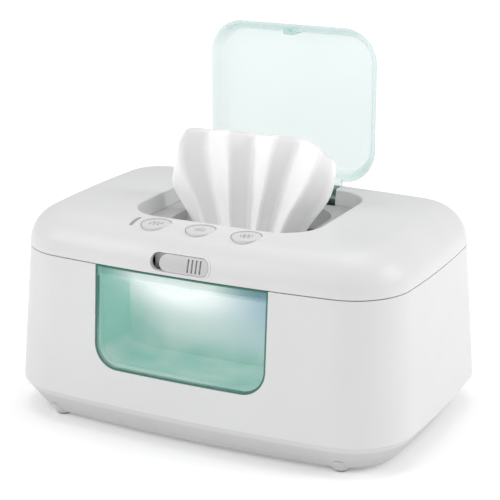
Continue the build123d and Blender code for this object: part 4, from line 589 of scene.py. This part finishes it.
# ---- heater: plate, film, felt and its two safety parts ----
# A rolled aluminium plate lies under the tub's floor, with a printed heating film glued below
# it. A felt pad keeps the heat in and has holes for the thermostat and the thermal fuse.
ALUMINIUM = (0.78, 0.78, 0.79)
FILM_AMBER = (0.55, 0.22, 0.03)
PHENOLIC_BROWN = (0.12, 0.07, 0.04)
FELT_GREY = (0.28, 0.28, 0.27)
dress(plated_steel("rolled aluminium", ALUMINIUM, roughness=0.38), "heating_plate")
dress(moulded_plastic("amber film", FILM_AMBER, roughness=0.3, grain=0.1), "heating_film")
dress(moulded_plastic("brown phenolic", PHENOLIC_BROWN, roughness=0.5, grain=0.3),
      "thermostat", "thermal_fuse")
dress(soft_rubber("grey felt", FELT_GREY, roughness=0.95), "insulation_pad")

# ---- springs: coils of drawn steel wire ----
# A torsion coil on the lid's rod throws the lid open, one end of it turned down as a leg. A
# small push coil holds the lid catch shut; the real one shortens as the release button is
# pressed, but this one keeps its resting length.
SPRING_GREY = (0.50, 0.50, 0.51)
POINTS_PER_TURN = 20
WIRE_SIDES = 10
spring_wire = plated_steel("spring wire", SPRING_GREY, roughness=0.3)


def node_tree(name, **kinds):
    """New Geometry Nodes tree with named inputs, with those inputs and the socket it ends in."""
    tree = bpy.data.node_groups.new(name, "GeometryNodeTree")
    tree.interface.new_socket("Geometry", in_out="OUTPUT", socket_type="NodeSocketGeometry")
    tree.interface.new_socket("Geometry", in_out="INPUT", socket_type="NodeSocketGeometry")
    for label, kind in kinds.items():
        tree.interface.new_socket(label, in_out="INPUT", socket_type="NodeSocket" + kind)
    inputs = tree.nodes.new("NodeGroupInput").outputs
    return tree, inputs, tree.nodes.new("NodeGroupOutput").inputs["Geometry"]


def step(tree, kind, **links):
    """Adds a Geometry Nodes node and sets its inputs from sockets and plain values."""
    node = tree.nodes.new(kind)
    for label, value in links.items():
        socket = node.inputs[label.replace("_", " ")]
        if isinstance(value, bpy.types.NodeSocket):
            tree.links.new(value, socket)
        else:
            socket.default_value = value
    return node


def closing(tree, geometry, finish, outlet):
    """Ends a tree: real geometry, its material, the outlet."""
    real = step(tree, "GeometryNodeRealizeInstances", Geometry=geometry)
    dressed = step(tree, "GeometryNodeSetMaterial", Geometry=real.outputs[0], Material=finish)
    tree.links.new(dressed.outputs[0], outlet)


def grow(name, tree, seed_mesh, **values):
    """Runs a tree on a mesh and returns the result as a plain mesh."""
    carrier = bpy.data.objects.new(name, seed_mesh)
    bpy.context.scene.collection.objects.link(carrier)
    modifier = carrier.modifiers.new(name, "NODES")
    modifier.node_group = tree
    for item in tree.interface.items_tree:
        if item.name in values:
            modifier[item.identifier] = values[item.name]
    graph = bpy.context.evaluated_depsgraph_get()
    graph.update()
    mesh = bpy.data.meshes.new_from_object(carrier.evaluated_get(graph))
    bpy.data.objects.remove(carrier)
    mesh.name = name
    return mesh


coil_tree, coil, coil_out = node_tree("coil", Turns="Float", Radius="Float", Length="Float", Wire="Float",
                                      Finish="Material")
helix = step(coil_tree, "GeometryNodeCurveSpiral", Resolution=POINTS_PER_TURN, Rotations=coil["Turns"],
             Start_Radius=coil["Radius"], End_Radius=coil["Radius"], Height=coil["Length"])
wire = step(coil_tree, "GeometryNodeCurvePrimitiveCircle", Resolution=WIRE_SIDES, Radius=coil["Wire"])
winding = step(coil_tree, "GeometryNodeCurveToMesh", Curve=helix.outputs[0], Profile_Curve=wire.outputs[0],
               Fill_Caps=True)
closing(coil_tree, winding.outputs[0], coil["Finish"], coil_out)


def coil_mesh(name, turns, radius, length, wire_radius):
    """Coil along Z from the origin."""
    return grow(name, coil_tree, bpy.data.meshes.new(name), Turns=turns, Radius=radius, Length=length,
                Wire=wire_radius, Finish=spring_wire)


def straight_wire(bm, start, end, radius):
    """Adds a capped round wire between two points."""
    line = Vector(end) - Vector(start)
    turn = line.to_track_quat("Z", "Y").to_matrix().to_4x4()
    middle = Matrix.Translation((Vector(start) + Vector(end)) / 2)
    bmesh.ops.create_cone(bm, cap_ends=True, segments=12, radius1=radius, radius2=radius,
                          depth=line.length, matrix=middle @ turn)


LID_SPRING_WIRE = 0.00032
LID_SPRING_RADIUS = 0.00218
LID_SPRING_TURNS = 26.0
rod_low, rod_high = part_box("lid_pin")
sleeve_low, sleeve_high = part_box("lid_spring")
rod_y = 0.5 * (rod_low.y + rod_high.y)
rod_z = 0.5 * (rod_low.z + rod_high.z)
winding_mesh = coil_mesh("torsion coil", LID_SPRING_TURNS, LID_SPRING_RADIUS,
                         sleeve_high.x - sleeve_low.x - 3 * LID_SPRING_WIRE, LID_SPRING_WIRE)
along_rod = Matrix.Rotation(pi / 2, 4, "Y") @ Matrix.Rotation(pi / 2, 4, "Z")
winding_mesh.transform(Matrix.Translation((sleeve_low.x + LID_SPRING_WIRE, rod_y, rod_z)) @ along_rod)
bm = bmesh.new()
bm.from_mesh(winding_mesh)
leg_x = sleeve_high.x - 2 * LID_SPRING_WIRE
leg_y = rod_y + LID_SPRING_RADIUS
straight_wire(bm, (leg_x, leg_y, rod_z), (leg_x, leg_y, sleeve_low.z), LID_SPRING_WIRE)
bmesh.ops.recalc_face_normals(bm, faces=bm.faces)
bm.to_mesh(winding_mesh)
bm.free()
lid_coil = mesh_object("lid_spring_coil", winding_mesh)
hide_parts("lid_spring")
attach(lid_coil, "cover")

CATCH_SPRING_WIRE = 0.00023
CATCH_SPRING_TURNS = 7.0
push_low, push_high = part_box("catch_spring")
push_x = 0.5 * (push_low.x + push_high.x)
push_z = 0.5 * (push_low.z + push_high.z)
push_radius = 0.5 * (push_high.x - push_low.x) - CATCH_SPRING_WIRE
push_mesh = coil_mesh("push coil", CATCH_SPRING_TURNS, push_radius,
                      push_high.y - push_low.y - 2 * CATCH_SPRING_WIRE, CATCH_SPRING_WIRE)
push_mesh.transform(Matrix.Translation((push_x, push_high.y - CATCH_SPRING_WIRE, push_z))
                    @ Matrix.Rotation(pi / 2, 4, "X"))
catch_coil = mesh_object("catch_spring_coil", push_mesh)
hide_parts("catch_spring")
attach(catch_coil, "cover")
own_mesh(catch_coil)

# ---- buttons and latch knob: light grey satin plastic ----
# Three round caps with level faces, each with a pad-printed sign: rising heat, an opening lid
# and a lamp. The latch knob is a darker grey, with four grooves across it for grip that are
# painted nearly white, painted light against the shade in them.
BUTTON_GREY = (0.66, 0.66, 0.663)
KNOB_GREY = (0.57, 0.57, 0.573)
CAP_ROUGHNESS = 0.42
CAP_GRAIN = 0.2
# Painted light in the knob's grooves, against the shade that falls in them.
GROOVE_PAINTED_LIGHT = (0.97, 0.97, 0.97)
GROOVE_COUNT = 4
GROOVE_START = 0.0028          # middle of the first groove
GROOVE_PITCH = 0.0026
GROOVE_HALF = (0.19, 0.23)     # its half width in pitches, and where its edge fades out
GROOVE_REACH = (0.0024, 0.0029)
INK_GREY = (0.30, 0.30, 0.303)
INK_THICKNESS = 0.00006
INK_WIDTH = 0.0007
SIGN_REACH = 0.0040            # half the size of a sign, which the shares below are of
WAVE_OFFSETS = (-0.0026, 0.0, 0.0026)
WAVE_HEIGHT = 0.85
WAVE_SWING = 0.0006
WAVE_BENDS = 1.3
WAVE_POINTS = 15
ARROW_HALF = 0.8
ARROW_TIP = 0.85
BAR_DROP = 0.55
RING_RADIUS = 0.45
RING_POINTS = 20
RAY_START = 0.7
RAY_COUNT = 8
knob_low, knob_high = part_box("latch_knob")
dress(moulded_plastic("light grey button plastic", BUTTON_GREY, CAP_ROUGHNESS, CAP_GRAIN),
      "heat_button", "light_button", "release_button")


def in_groove_painted_light(tree, coordinates):
    """1 in the grooves of the latch knob, which are painted pale as painted light against their shade."""
    across, _, up = split(tree, coordinates)
    along = calc(tree, "DIVIDE", calc(tree, "SUBTRACT", across, GROOVE_START), GROOVE_PITCH)
    nearest = calc(tree, "ABSOLUTE", calc(tree, "SUBTRACT", along, calc(tree, "ROUND", along)))
    from_centre = calc(tree, "ABSOLUTE", calc(tree, "SUBTRACT", along, (GROOVE_COUNT - 1) / 2))
    among_them = calc(tree, "LESS_THAN", from_centre, GROOVE_COUNT / 2)
    from_middle = calc(tree, "ABSOLUTE", calc(tree, "SUBTRACT", up, 0.5 * (knob_low.z + knob_high.z)))
    return product(tree, among_them, spread(tree, from_middle, 1, 0, *GROOVE_REACH),
                   spread(tree, nearest, 1, 0, *GROOVE_HALF))


dress(moulded_plastic("pale knob plastic", KNOB_GREY, CAP_ROUGHNESS, CAP_GRAIN,
                      inlay=(GROOVE_PAINTED_LIGHT, in_groove_painted_light)), "latch_knob")
sign_ink = soft_rubber("grey pad ink", INK_GREY, roughness=0.6)


def stroke(bm, points, closed=False):
    """Adds one flat printed line through points on the cap's face."""
    count = len(points)
    rows = []
    for index, point in enumerate(points):
        ahead = points[(index + 1) % count] if closed or index < count - 1 else point
        behind = points[index - 1] if closed or index > 0 else point
        run = Vector(ahead) - Vector(behind)
        aside = Vector((-run.y, run.x)).normalized() * INK_WIDTH / 2
        rows.append([bm.verts.new((*(Vector(point) + side * aside), height))
                     for side, height in ((-1, 0), (1, 0), (1, INK_THICKNESS), (-1, INK_THICKNESS))])
    for index in range(count if closed else count - 1):
        here, there = rows[index], rows[(index + 1) % count]
        for corner in range(4):
            following = (corner + 1) % 4
            bm.faces.new((here[corner], here[following], there[following], there[corner]))
    if not closed:
        bm.faces.new(rows[0])
        bm.faces.new(rows[-1])


def heat_sign(bm):
    """Three rising waves."""
    for offset in WAVE_OFFSETS:
        heights = [SIGN_REACH * (2 * index / (WAVE_POINTS - 1) - 1) * WAVE_HEIGHT
                   for index in range(WAVE_POINTS)]
        stroke(bm, [(offset + WAVE_SWING * sin(y / SIGN_REACH * pi * WAVE_BENDS), y) for y in heights])


def lid_sign(bm):
    """Opening lid: an arrowhead over a bar."""
    half = SIGN_REACH * ARROW_HALF
    stroke(bm, [(-half, 0.0), (0.0, SIGN_REACH * ARROW_TIP), (half, 0.0)], closed=True)
    stroke(bm, [(-half, -SIGN_REACH * BAR_DROP), (half, -SIGN_REACH * BAR_DROP)])


def lamp_sign(bm):
    """Lit lamp: a ring with rays."""
    ring = RING_RADIUS * SIGN_REACH
    angles = [2 * pi * index / RING_POINTS for index in range(RING_POINTS)]
    stroke(bm, [(ring * cos(angle), ring * sin(angle)) for angle in angles], closed=True)
    for index in range(RAY_COUNT):
        angle = 2 * pi * index / RAY_COUNT
        ray = Vector((cos(angle), sin(angle)))
        stroke(bm, [tuple(ray * SIGN_REACH * RAY_START), tuple(ray * SIGN_REACH)])


for button, draw in (("heat_button", heat_sign), ("release_button", lid_sign), ("light_button", lamp_sign)):
    cap_low, cap_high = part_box(button)
    bm = bmesh.new()
    draw(bm)
    bmesh.ops.recalc_face_normals(bm, faces=bm.faces)
    middle = (cap_low + cap_high) / 2
    bmesh.ops.translate(bm, verts=bm.verts, vec=(middle.x, middle.y, cap_high.z))
    sign = from_bmesh(button + "_sign", bm)
    sign.data.materials.append(sign_ink)
    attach(sign, button)

# ---- flip lid: clear dish with a faint aqua tint ----
# Moulded in one piece with its hinge arms and its catch tab, thin and a little milky. The
# tint gathers where its rim and its shoulders are seen edge-on.
LID_AQUA = (0.46, 0.72, 0.69)
LID_CLEAR = 0.22               # how filled in it is face-on
LID_EDGE = 0.70                # and edge-on
LID_FLOW = 18
LID_FLOW_SHADE = 0.96
LID_ROUGHNESS = 0.12


def lid_plastic():
    """Faintly milky clear plastic, more filled in where it is seen edge-on."""
    material, tree, principled, coordinates = shader("aqua clear plastic")
    flow = spread(tree, waves(tree, coordinates, LID_FLOW, 2), 0, 1)
    surface = tone(tree, flow, shaded(LID_AQUA, LID_FLOW_SHADE), LID_AQUA)
    tree.links.new(surface, principled.inputs["Base Color"])
    principled.inputs["Roughness"].default_value = LID_ROUGHNESS
    facing = tree.nodes.new("ShaderNodeLayerWeight")
    facing.inputs["Blend"].default_value = 0.35
    filled_in = spread(tree, facing.outputs["Facing"], LID_CLEAR, LID_EDGE, 0.15, 0.85)
    tree.links.new(filled_in, principled.inputs["Alpha"])
    return material


dress(lid_plastic(), "lid")

# ---- wipe stack: folded moist wipes ----
# Non-woven viscose, each wipe folded once and laid on the last the other way round. They
# lie loose in the tub, so their edges wander a little.
STACK_WHITE = (0.80, 0.80, 0.80)
WIPE_COUNT = 36
WIPE_SEED = 7
FOLD_LAYERS = 2
RUN_POINTS = 10
TURN_POINTS = 5
LENGTH_POINTS = 24
END_CLEARANCE = 0.001          # wipes shorter than the well at each end
EDGE_WANDER = 0.006            # how much their long edges wander, as a share
WANDER_RATE = 47
WIPE_SWAY = (0.0009, 0.0004, 0.0)
CLOTH_SHARE = 0.72             # cloth in a layer, and the rest air
CLOTH_FIBRES = 1600
CLOTH_FIBRE_SHADE = 0.97
CLOTH_FIBRE_RISE = 0.6         # against the dimples
CLOTH_DIMPLES = 420
DIMPLE_STRENGTH = 0.35
DIMPLE_DEPTH = 0.00015
CLOTH_ROUGHNESS = 0.9
CLOTH_SCATTER = 0.25           # share of the light that spreads inside it
SCATTER_REACH = 0.004
stack_low, stack_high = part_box("wipe_stack")
stack_pitch = (stack_high.z - stack_low.z) / WIPE_COUNT
layer_pitch = stack_pitch / FOLD_LAYERS


def wipe_cloth(name, colour, painted_fold_shade, glow):
    """Spunlaced cloth: fine fibres over a soft dimpled emboss. Where the fold attribute paints shade,
    its colour drops to the painted_fold_shade share, and glow is a painted glow for light through it."""
    material, tree, principled, coordinates = shader(name)
    fibres = waves(tree, coordinates, CLOTH_FIBRES, 8)
    # The fold attribute carries painted shade, set on the pleats of the pulled wipe.
    fold = tree.nodes.new("ShaderNodeAttribute")
    fold.attribute_name = "fold"
    dry = tone(tree, spread(tree, fibres, 0, 1), shaded(colour, CLOTH_FIBRE_SHADE), colour)
    tree.links.new(tone(tree, fold.outputs["Fac"], dry, shaded(colour, painted_fold_shade)),
                   principled.inputs["Base Color"])
    principled.inputs["Roughness"].default_value = CLOTH_ROUGHNESS
    principled.inputs["Subsurface Weight"].default_value = CLOTH_SCATTER
    principled.inputs["Subsurface Radius"].default_value = (SCATTER_REACH, SCATTER_REACH, SCATTER_REACH)
    principled.inputs["Subsurface Scale"].default_value = 1.0
    principled.inputs["Emission Color"].default_value = PURE_WHITE
    principled.inputs["Emission Strength"].default_value = glow
    dimples = tree.nodes.new("ShaderNodeTexVoronoi")
    dimples.inputs["Scale"].default_value = CLOTH_DIMPLES
    tree.links.new(coordinates, dimples.inputs["Vector"])
    raised = calc(tree, "ADD", dimples.outputs["Distance"], product(tree, fibres, CLOTH_FIBRE_RISE))
    relief(tree, principled, raised, DIMPLE_STRENGTH, DIMPLE_DEPTH)
    return material


stack_cloth = wipe_cloth("white spunlaced cloth", STACK_WHITE, painted_fold_shade=1.0, glow=0.0)


def by_place(element):
    """One number for the place of a point or a face, to sort a mesh from end to end."""
    x, y, z = element.co if isinstance(element, bmesh.types.BMVert) else element.calc_center_median()
    return 1e6 * x + 1e3 * y + z


def folded_wipe():
    """One folded wipe, centred on the origin, as a closed thin mesh."""
    half_depth = (stack_high.y - stack_low.y) / 2 - layer_pitch
    path = []
    for layer in range(FOLD_LAYERS):
        side = 1 if layer % 2 == 0 else -1
        height = (layer + 0.5) * layer_pitch
        for index in range(RUN_POINTS):
            path.append((side * half_depth * (2 * index / (RUN_POINTS - 1) - 1), height))
        if layer < FOLD_LAYERS - 1:
            for index in range(1, TURN_POINTS):
                angle = pi * index / TURN_POINTS - pi / 2
                path.append((side * (half_depth + layer_pitch / 2 * cos(angle)),
                             height + layer_pitch / 2 * (1 + sin(angle))))
    bm = bmesh.new()
    half_length = (stack_high.x - stack_low.x) / 2 - END_CLEARANCE
    rows = []
    for index in range(LENGTH_POINTS):
        x = half_length * (2 * index / (LENGTH_POINTS - 1) - 1)
        narrowed = 1 - EDGE_WANDER * sin(x * WANDER_RATE) ** 2
        rows.append([bm.verts.new((x, y * narrowed, z)) for y, z in path])
    for first, second in zip(rows, rows[1:]):
        for a, b, c, d in zip(first, first[1:], second[1:], second):
            bm.faces.new((a, b, c, d))
    bmesh.ops.recalc_face_normals(bm, faces=bm.faces)
    bmesh.ops.solidify(bm, geom=bm.faces[:], thickness=layer_pitch * CLOTH_SHARE)
    bmesh.ops.recalc_face_normals(bm, faces=bm.faces)
    # The rim's faces come in no fixed order, so they are sorted to give the same mesh each run.
    bm.verts.sort(key=by_place)
    bm.faces.sort(key=by_place)
    mesh = bpy.data.meshes.new("folded wipe")
    bm.to_mesh(mesh)
    bm.free()
    mesh.shade_smooth()
    return mesh


pile_tree, pile, pile_out = node_tree("pile", Count="Int", Rise="Vector", Sway="Vector", Seed="Int",
                                      Finish="Material")
places = step(pile_tree, "GeometryNodeMeshLine", Count=pile["Count"], Offset=pile["Rise"])
order = pile_tree.nodes.new("GeometryNodeInputIndex").outputs[0]
back_sway = step(pile_tree, "ShaderNodeVectorMath", Vector=pile["Sway"])
back_sway.operation = "SCALE"
back_sway.inputs["Scale"].default_value = -1.0
wander = pile_tree.nodes.new("FunctionNodeRandomValue")
wander.data_type = "FLOAT_VECTOR"
pile_tree.links.new(back_sway.outputs[0], wander.inputs[0])
pile_tree.links.new(pile["Sway"], wander.inputs[1])
pile_tree.links.new(pile["Seed"], wander.inputs["Seed"])
shifted = step(pile_tree, "GeometryNodeSetPosition", Geometry=places.outputs[0], Offset=wander.outputs[0])
half_turn = product(pile_tree, calc(pile_tree, "MODULO", order, 2.0), pi)
facing_way = step(pile_tree, "ShaderNodeCombineXYZ", Z=half_turn)
turned = step(pile_tree, "FunctionNodeEulerToRotation", Euler=facing_way.outputs[0])
laid = step(pile_tree, "GeometryNodeInstanceOnPoints", Points=shifted.outputs[0], Instance=pile["Geometry"],
            Rotation=turned.outputs[0])
closing(pile_tree, laid.outputs[0], pile["Finish"], pile_out)
pile_mesh = grow("wipe pile", pile_tree, folded_wipe(), Count=WIPE_COUNT, Rise=(0, 0, stack_pitch),
                 Sway=WIPE_SWAY, Seed=WIPE_SEED, Finish=stack_cloth)
stack_middle = (stack_low + stack_high) / 2
pile_mesh.transform(Matrix.Translation((stack_middle.x, stack_middle.y, stack_low.z)))
wipe_pile = mesh_object("wipe_pile", pile_mesh)
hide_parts("wipe_stack")
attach(wipe_pile, "case")

# ---- pulled wipe: one wipe drawn up through the throat ----
# The same cloth, folded over its middle. It stands in a fan of sharp pleats, gathered where
# the throat squeezes it and opening upwards, and both its ends go down towards the stack.
# Half width of the fan at shares of its height, and height of its top fold at shares of its
# half width.
FAN_LEFT = ((0, 0.0300), (0.325, 0.0410), (0.62, 0.0530), (0.85, 0.0510), (1, 0.0445))
FAN_RIGHT = ((0, 0.0270), (0.325, 0.0355), (0.62, 0.0492), (0.85, 0.0536), (1, 0.0530))
FAN_CREST = ((-1, 0.0660), (-0.95, 0.0735), (-0.88, 0.0782), (-0.65, 0.0795),
             (0.50, 0.0800), (0.78, 0.0788), (0.93, 0.0752), (1, 0.0695))
# Each fold's place at the foot, its place at the top, and how far back it lies.
FOLDS = ((-1, -1, 0.4), (-0.72, -0.95, -1), (-0.60, -0.665, 1), (-0.25, -0.25, -1), (-0.14, 0.03, 1),
         (0.21, 0.38, -1), (0.30, 0.62, 1), (0.61, 0.955, -1), (1, 1, 1))
PLEAT_DEPTH = ((0, 0.0066), (0.4, 0.0064), (1, 0.0060))
FOLD_SHARPNESS = 0.975
EDGE_LEAN = 0.30               # how far the pleats in front rise above those behind
LEAF_GAP = 0.0011              # half the gap between the two leaves, below the top fold
DEPTH_VARIES = 0.22            # how much the pleats' depth varies along the fan
CRUMPLE_DEPTH = 0.0008
FINE_CRUMPLE_DEPTH = 0.0003
SHADE_EDGES = (0.22, 0.30)     # shares of a face over which its shade comes and goes
PLEAT_COLUMNS = 20
FAN_ROWS = 40
FAN_CLOTH = 0.0004
WIPE_WHITE = (0.93, 0.93, 0.93)
PAINTED_FOLD_SHADE = 0.77              # painted shade on the pleats' faces turned from the light
CLOTH_PAINTED_GLOW = 0.135            # painted glow, standing for light through the thin cloth from behind
fan_low, fan_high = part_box("pulled_wipe")


def eased(value):
    """Smooth step from 0 to 1."""
    value = min(max(value, 0.0), 1.0)
    return value * value * (3 - 2 * value)


def through(knots, at):
    """Smooth curve through knots of place and value."""
    places, values = zip(*knots)
    last = len(knots) - 1
    index = max(i for i in range(last) if at >= places[i] or i == 0)
    slopes = []
    for knot in (index, index + 1):
        before, after = max(knot - 1, 0), min(knot + 1, last)
        slopes.append((values[after] - values[before]) / (places[after] - places[before]))
    gap = places[index + 1] - places[index]
    t = (at - places[index]) / gap
    start = values[index] * (1 + 2 * t) * (1 - t) ** 2 + slopes[0] * gap * t * (1 - t) ** 2
    return start + values[index + 1] * t * t * (3 - 2 * t) + slopes[1] * gap * t * t * (t - 1)


def fan_point(column, up, leaf):
    """Place on the fan, and how much painted shade it takes there, as if folded away from the light.
    Columns are counted from left to right; up is 0 at the foot and 1 at the top fold. The large and
    the small crumples differ on the two leaves and meet at the top."""
    face = min(column // PLEAT_COLUMNS, len(FOLDS) - 2)
    share = column / PLEAT_COLUMNS - face
    (foot, top, here), (next_foot, next_top, there) = FOLDS[face], FOLDS[face + 1]
    begins = foot + (top - foot) * up
    across = begins + (next_foot + (next_top - next_foot) * up - begins) * share
    crease = 0.5 - 0.5 * asin(FOLD_SHARPNESS * cos(pi * share)) / asin(FOLD_SHARPNESS)
    crumple = noise.noise(Vector((across * 5.0, up * 3.0, leaf * 4.0 + 2.0)))
    fine = noise.noise(Vector((across * 14.0, up * 9.0, leaf * 4.0 + 9.0)))
    depth = through(PLEAT_DEPTH, up) * (1 + DEPTH_VARIES * sin(5 * across + 2))
    y = depth * (here + (there - here) * crease)
    y += (CRUMPLE_DEPTH * crumple + FINE_CRUMPLE_DEPTH * fine) * (0.4 + up)
    side = FAN_RIGHT if across > 0 else FAN_LEFT
    straight = side[0][1] + (side[-1][1] - side[0][1]) * up
    x = across * (straight + (through(side, up) - straight) * abs(across) ** 3)
    z = fan_low.z + through(FAN_CREST, across) * up - EDGE_LEAN * y * up ** 2
    # Painted shade on every other face of the pleats, deeper towards the foot.
    painted_fold_shade = 0.0
    if face % 2:
        comes, goes = SHADE_EDGES
        painted_fold_shade = eased(share / comes) * eased((1 - share) / goes) * (1.2 - 0.4 * up)
    return x, 0.5 * (fan_low.y + fan_high.y) + y, z, painted_fold_shade


def fan_mesh():
    """The wipe as one sheet: up the front, over its fold and down the back."""
    bm = bmesh.new()
    fold = bm.verts.layers.float.new("fold")
    columns = PLEAT_COLUMNS * (len(FOLDS) - 1) + 1
    rows = []
    for leaf in (-1, 1):
        steps = range(FAN_ROWS + 1) if leaf < 0 else range(FAN_ROWS - 1, -1, -1)
        for index in steps:
            up = index / FAN_ROWS
            gap = LEAF_GAP * (1 - up ** 6) ** 0.5
            row = []
            for column in range(columns):
                x, y, z, painted_fold_shade = fan_point(column, up, leaf * (1 - up))
                row.append(bm.verts.new((x, y + leaf * gap, z)))
                row[-1][fold] = painted_fold_shade
            rows.append(row)
    for first, second in zip(rows, rows[1:]):
        for a, b, c, d in zip(first, first[1:], second[1:], second):
            bm.faces.new((a, b, c, d))
    bmesh.ops.recalc_face_normals(bm, faces=bm.faces)
    return bm


fan = from_bmesh("pulled_wipe_fan", fan_mesh())
# The pulled wipe's cloth has painted shade on its pleats and a painted glow all over.
fan_cloth = wipe_cloth("white cloth with painted glow and painted shade", WIPE_WHITE, PAINTED_FOLD_SHADE, CLOTH_PAINTED_GLOW)
fan.data.materials.append(fan_cloth)
thick = fan.modifiers.new("cloth thickness", "SOLIDIFY")
thick.thickness = FAN_CLOTH
thick.offset = 0.0
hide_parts("pulled_wipe")
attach(fan, "cover")
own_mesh(fan)
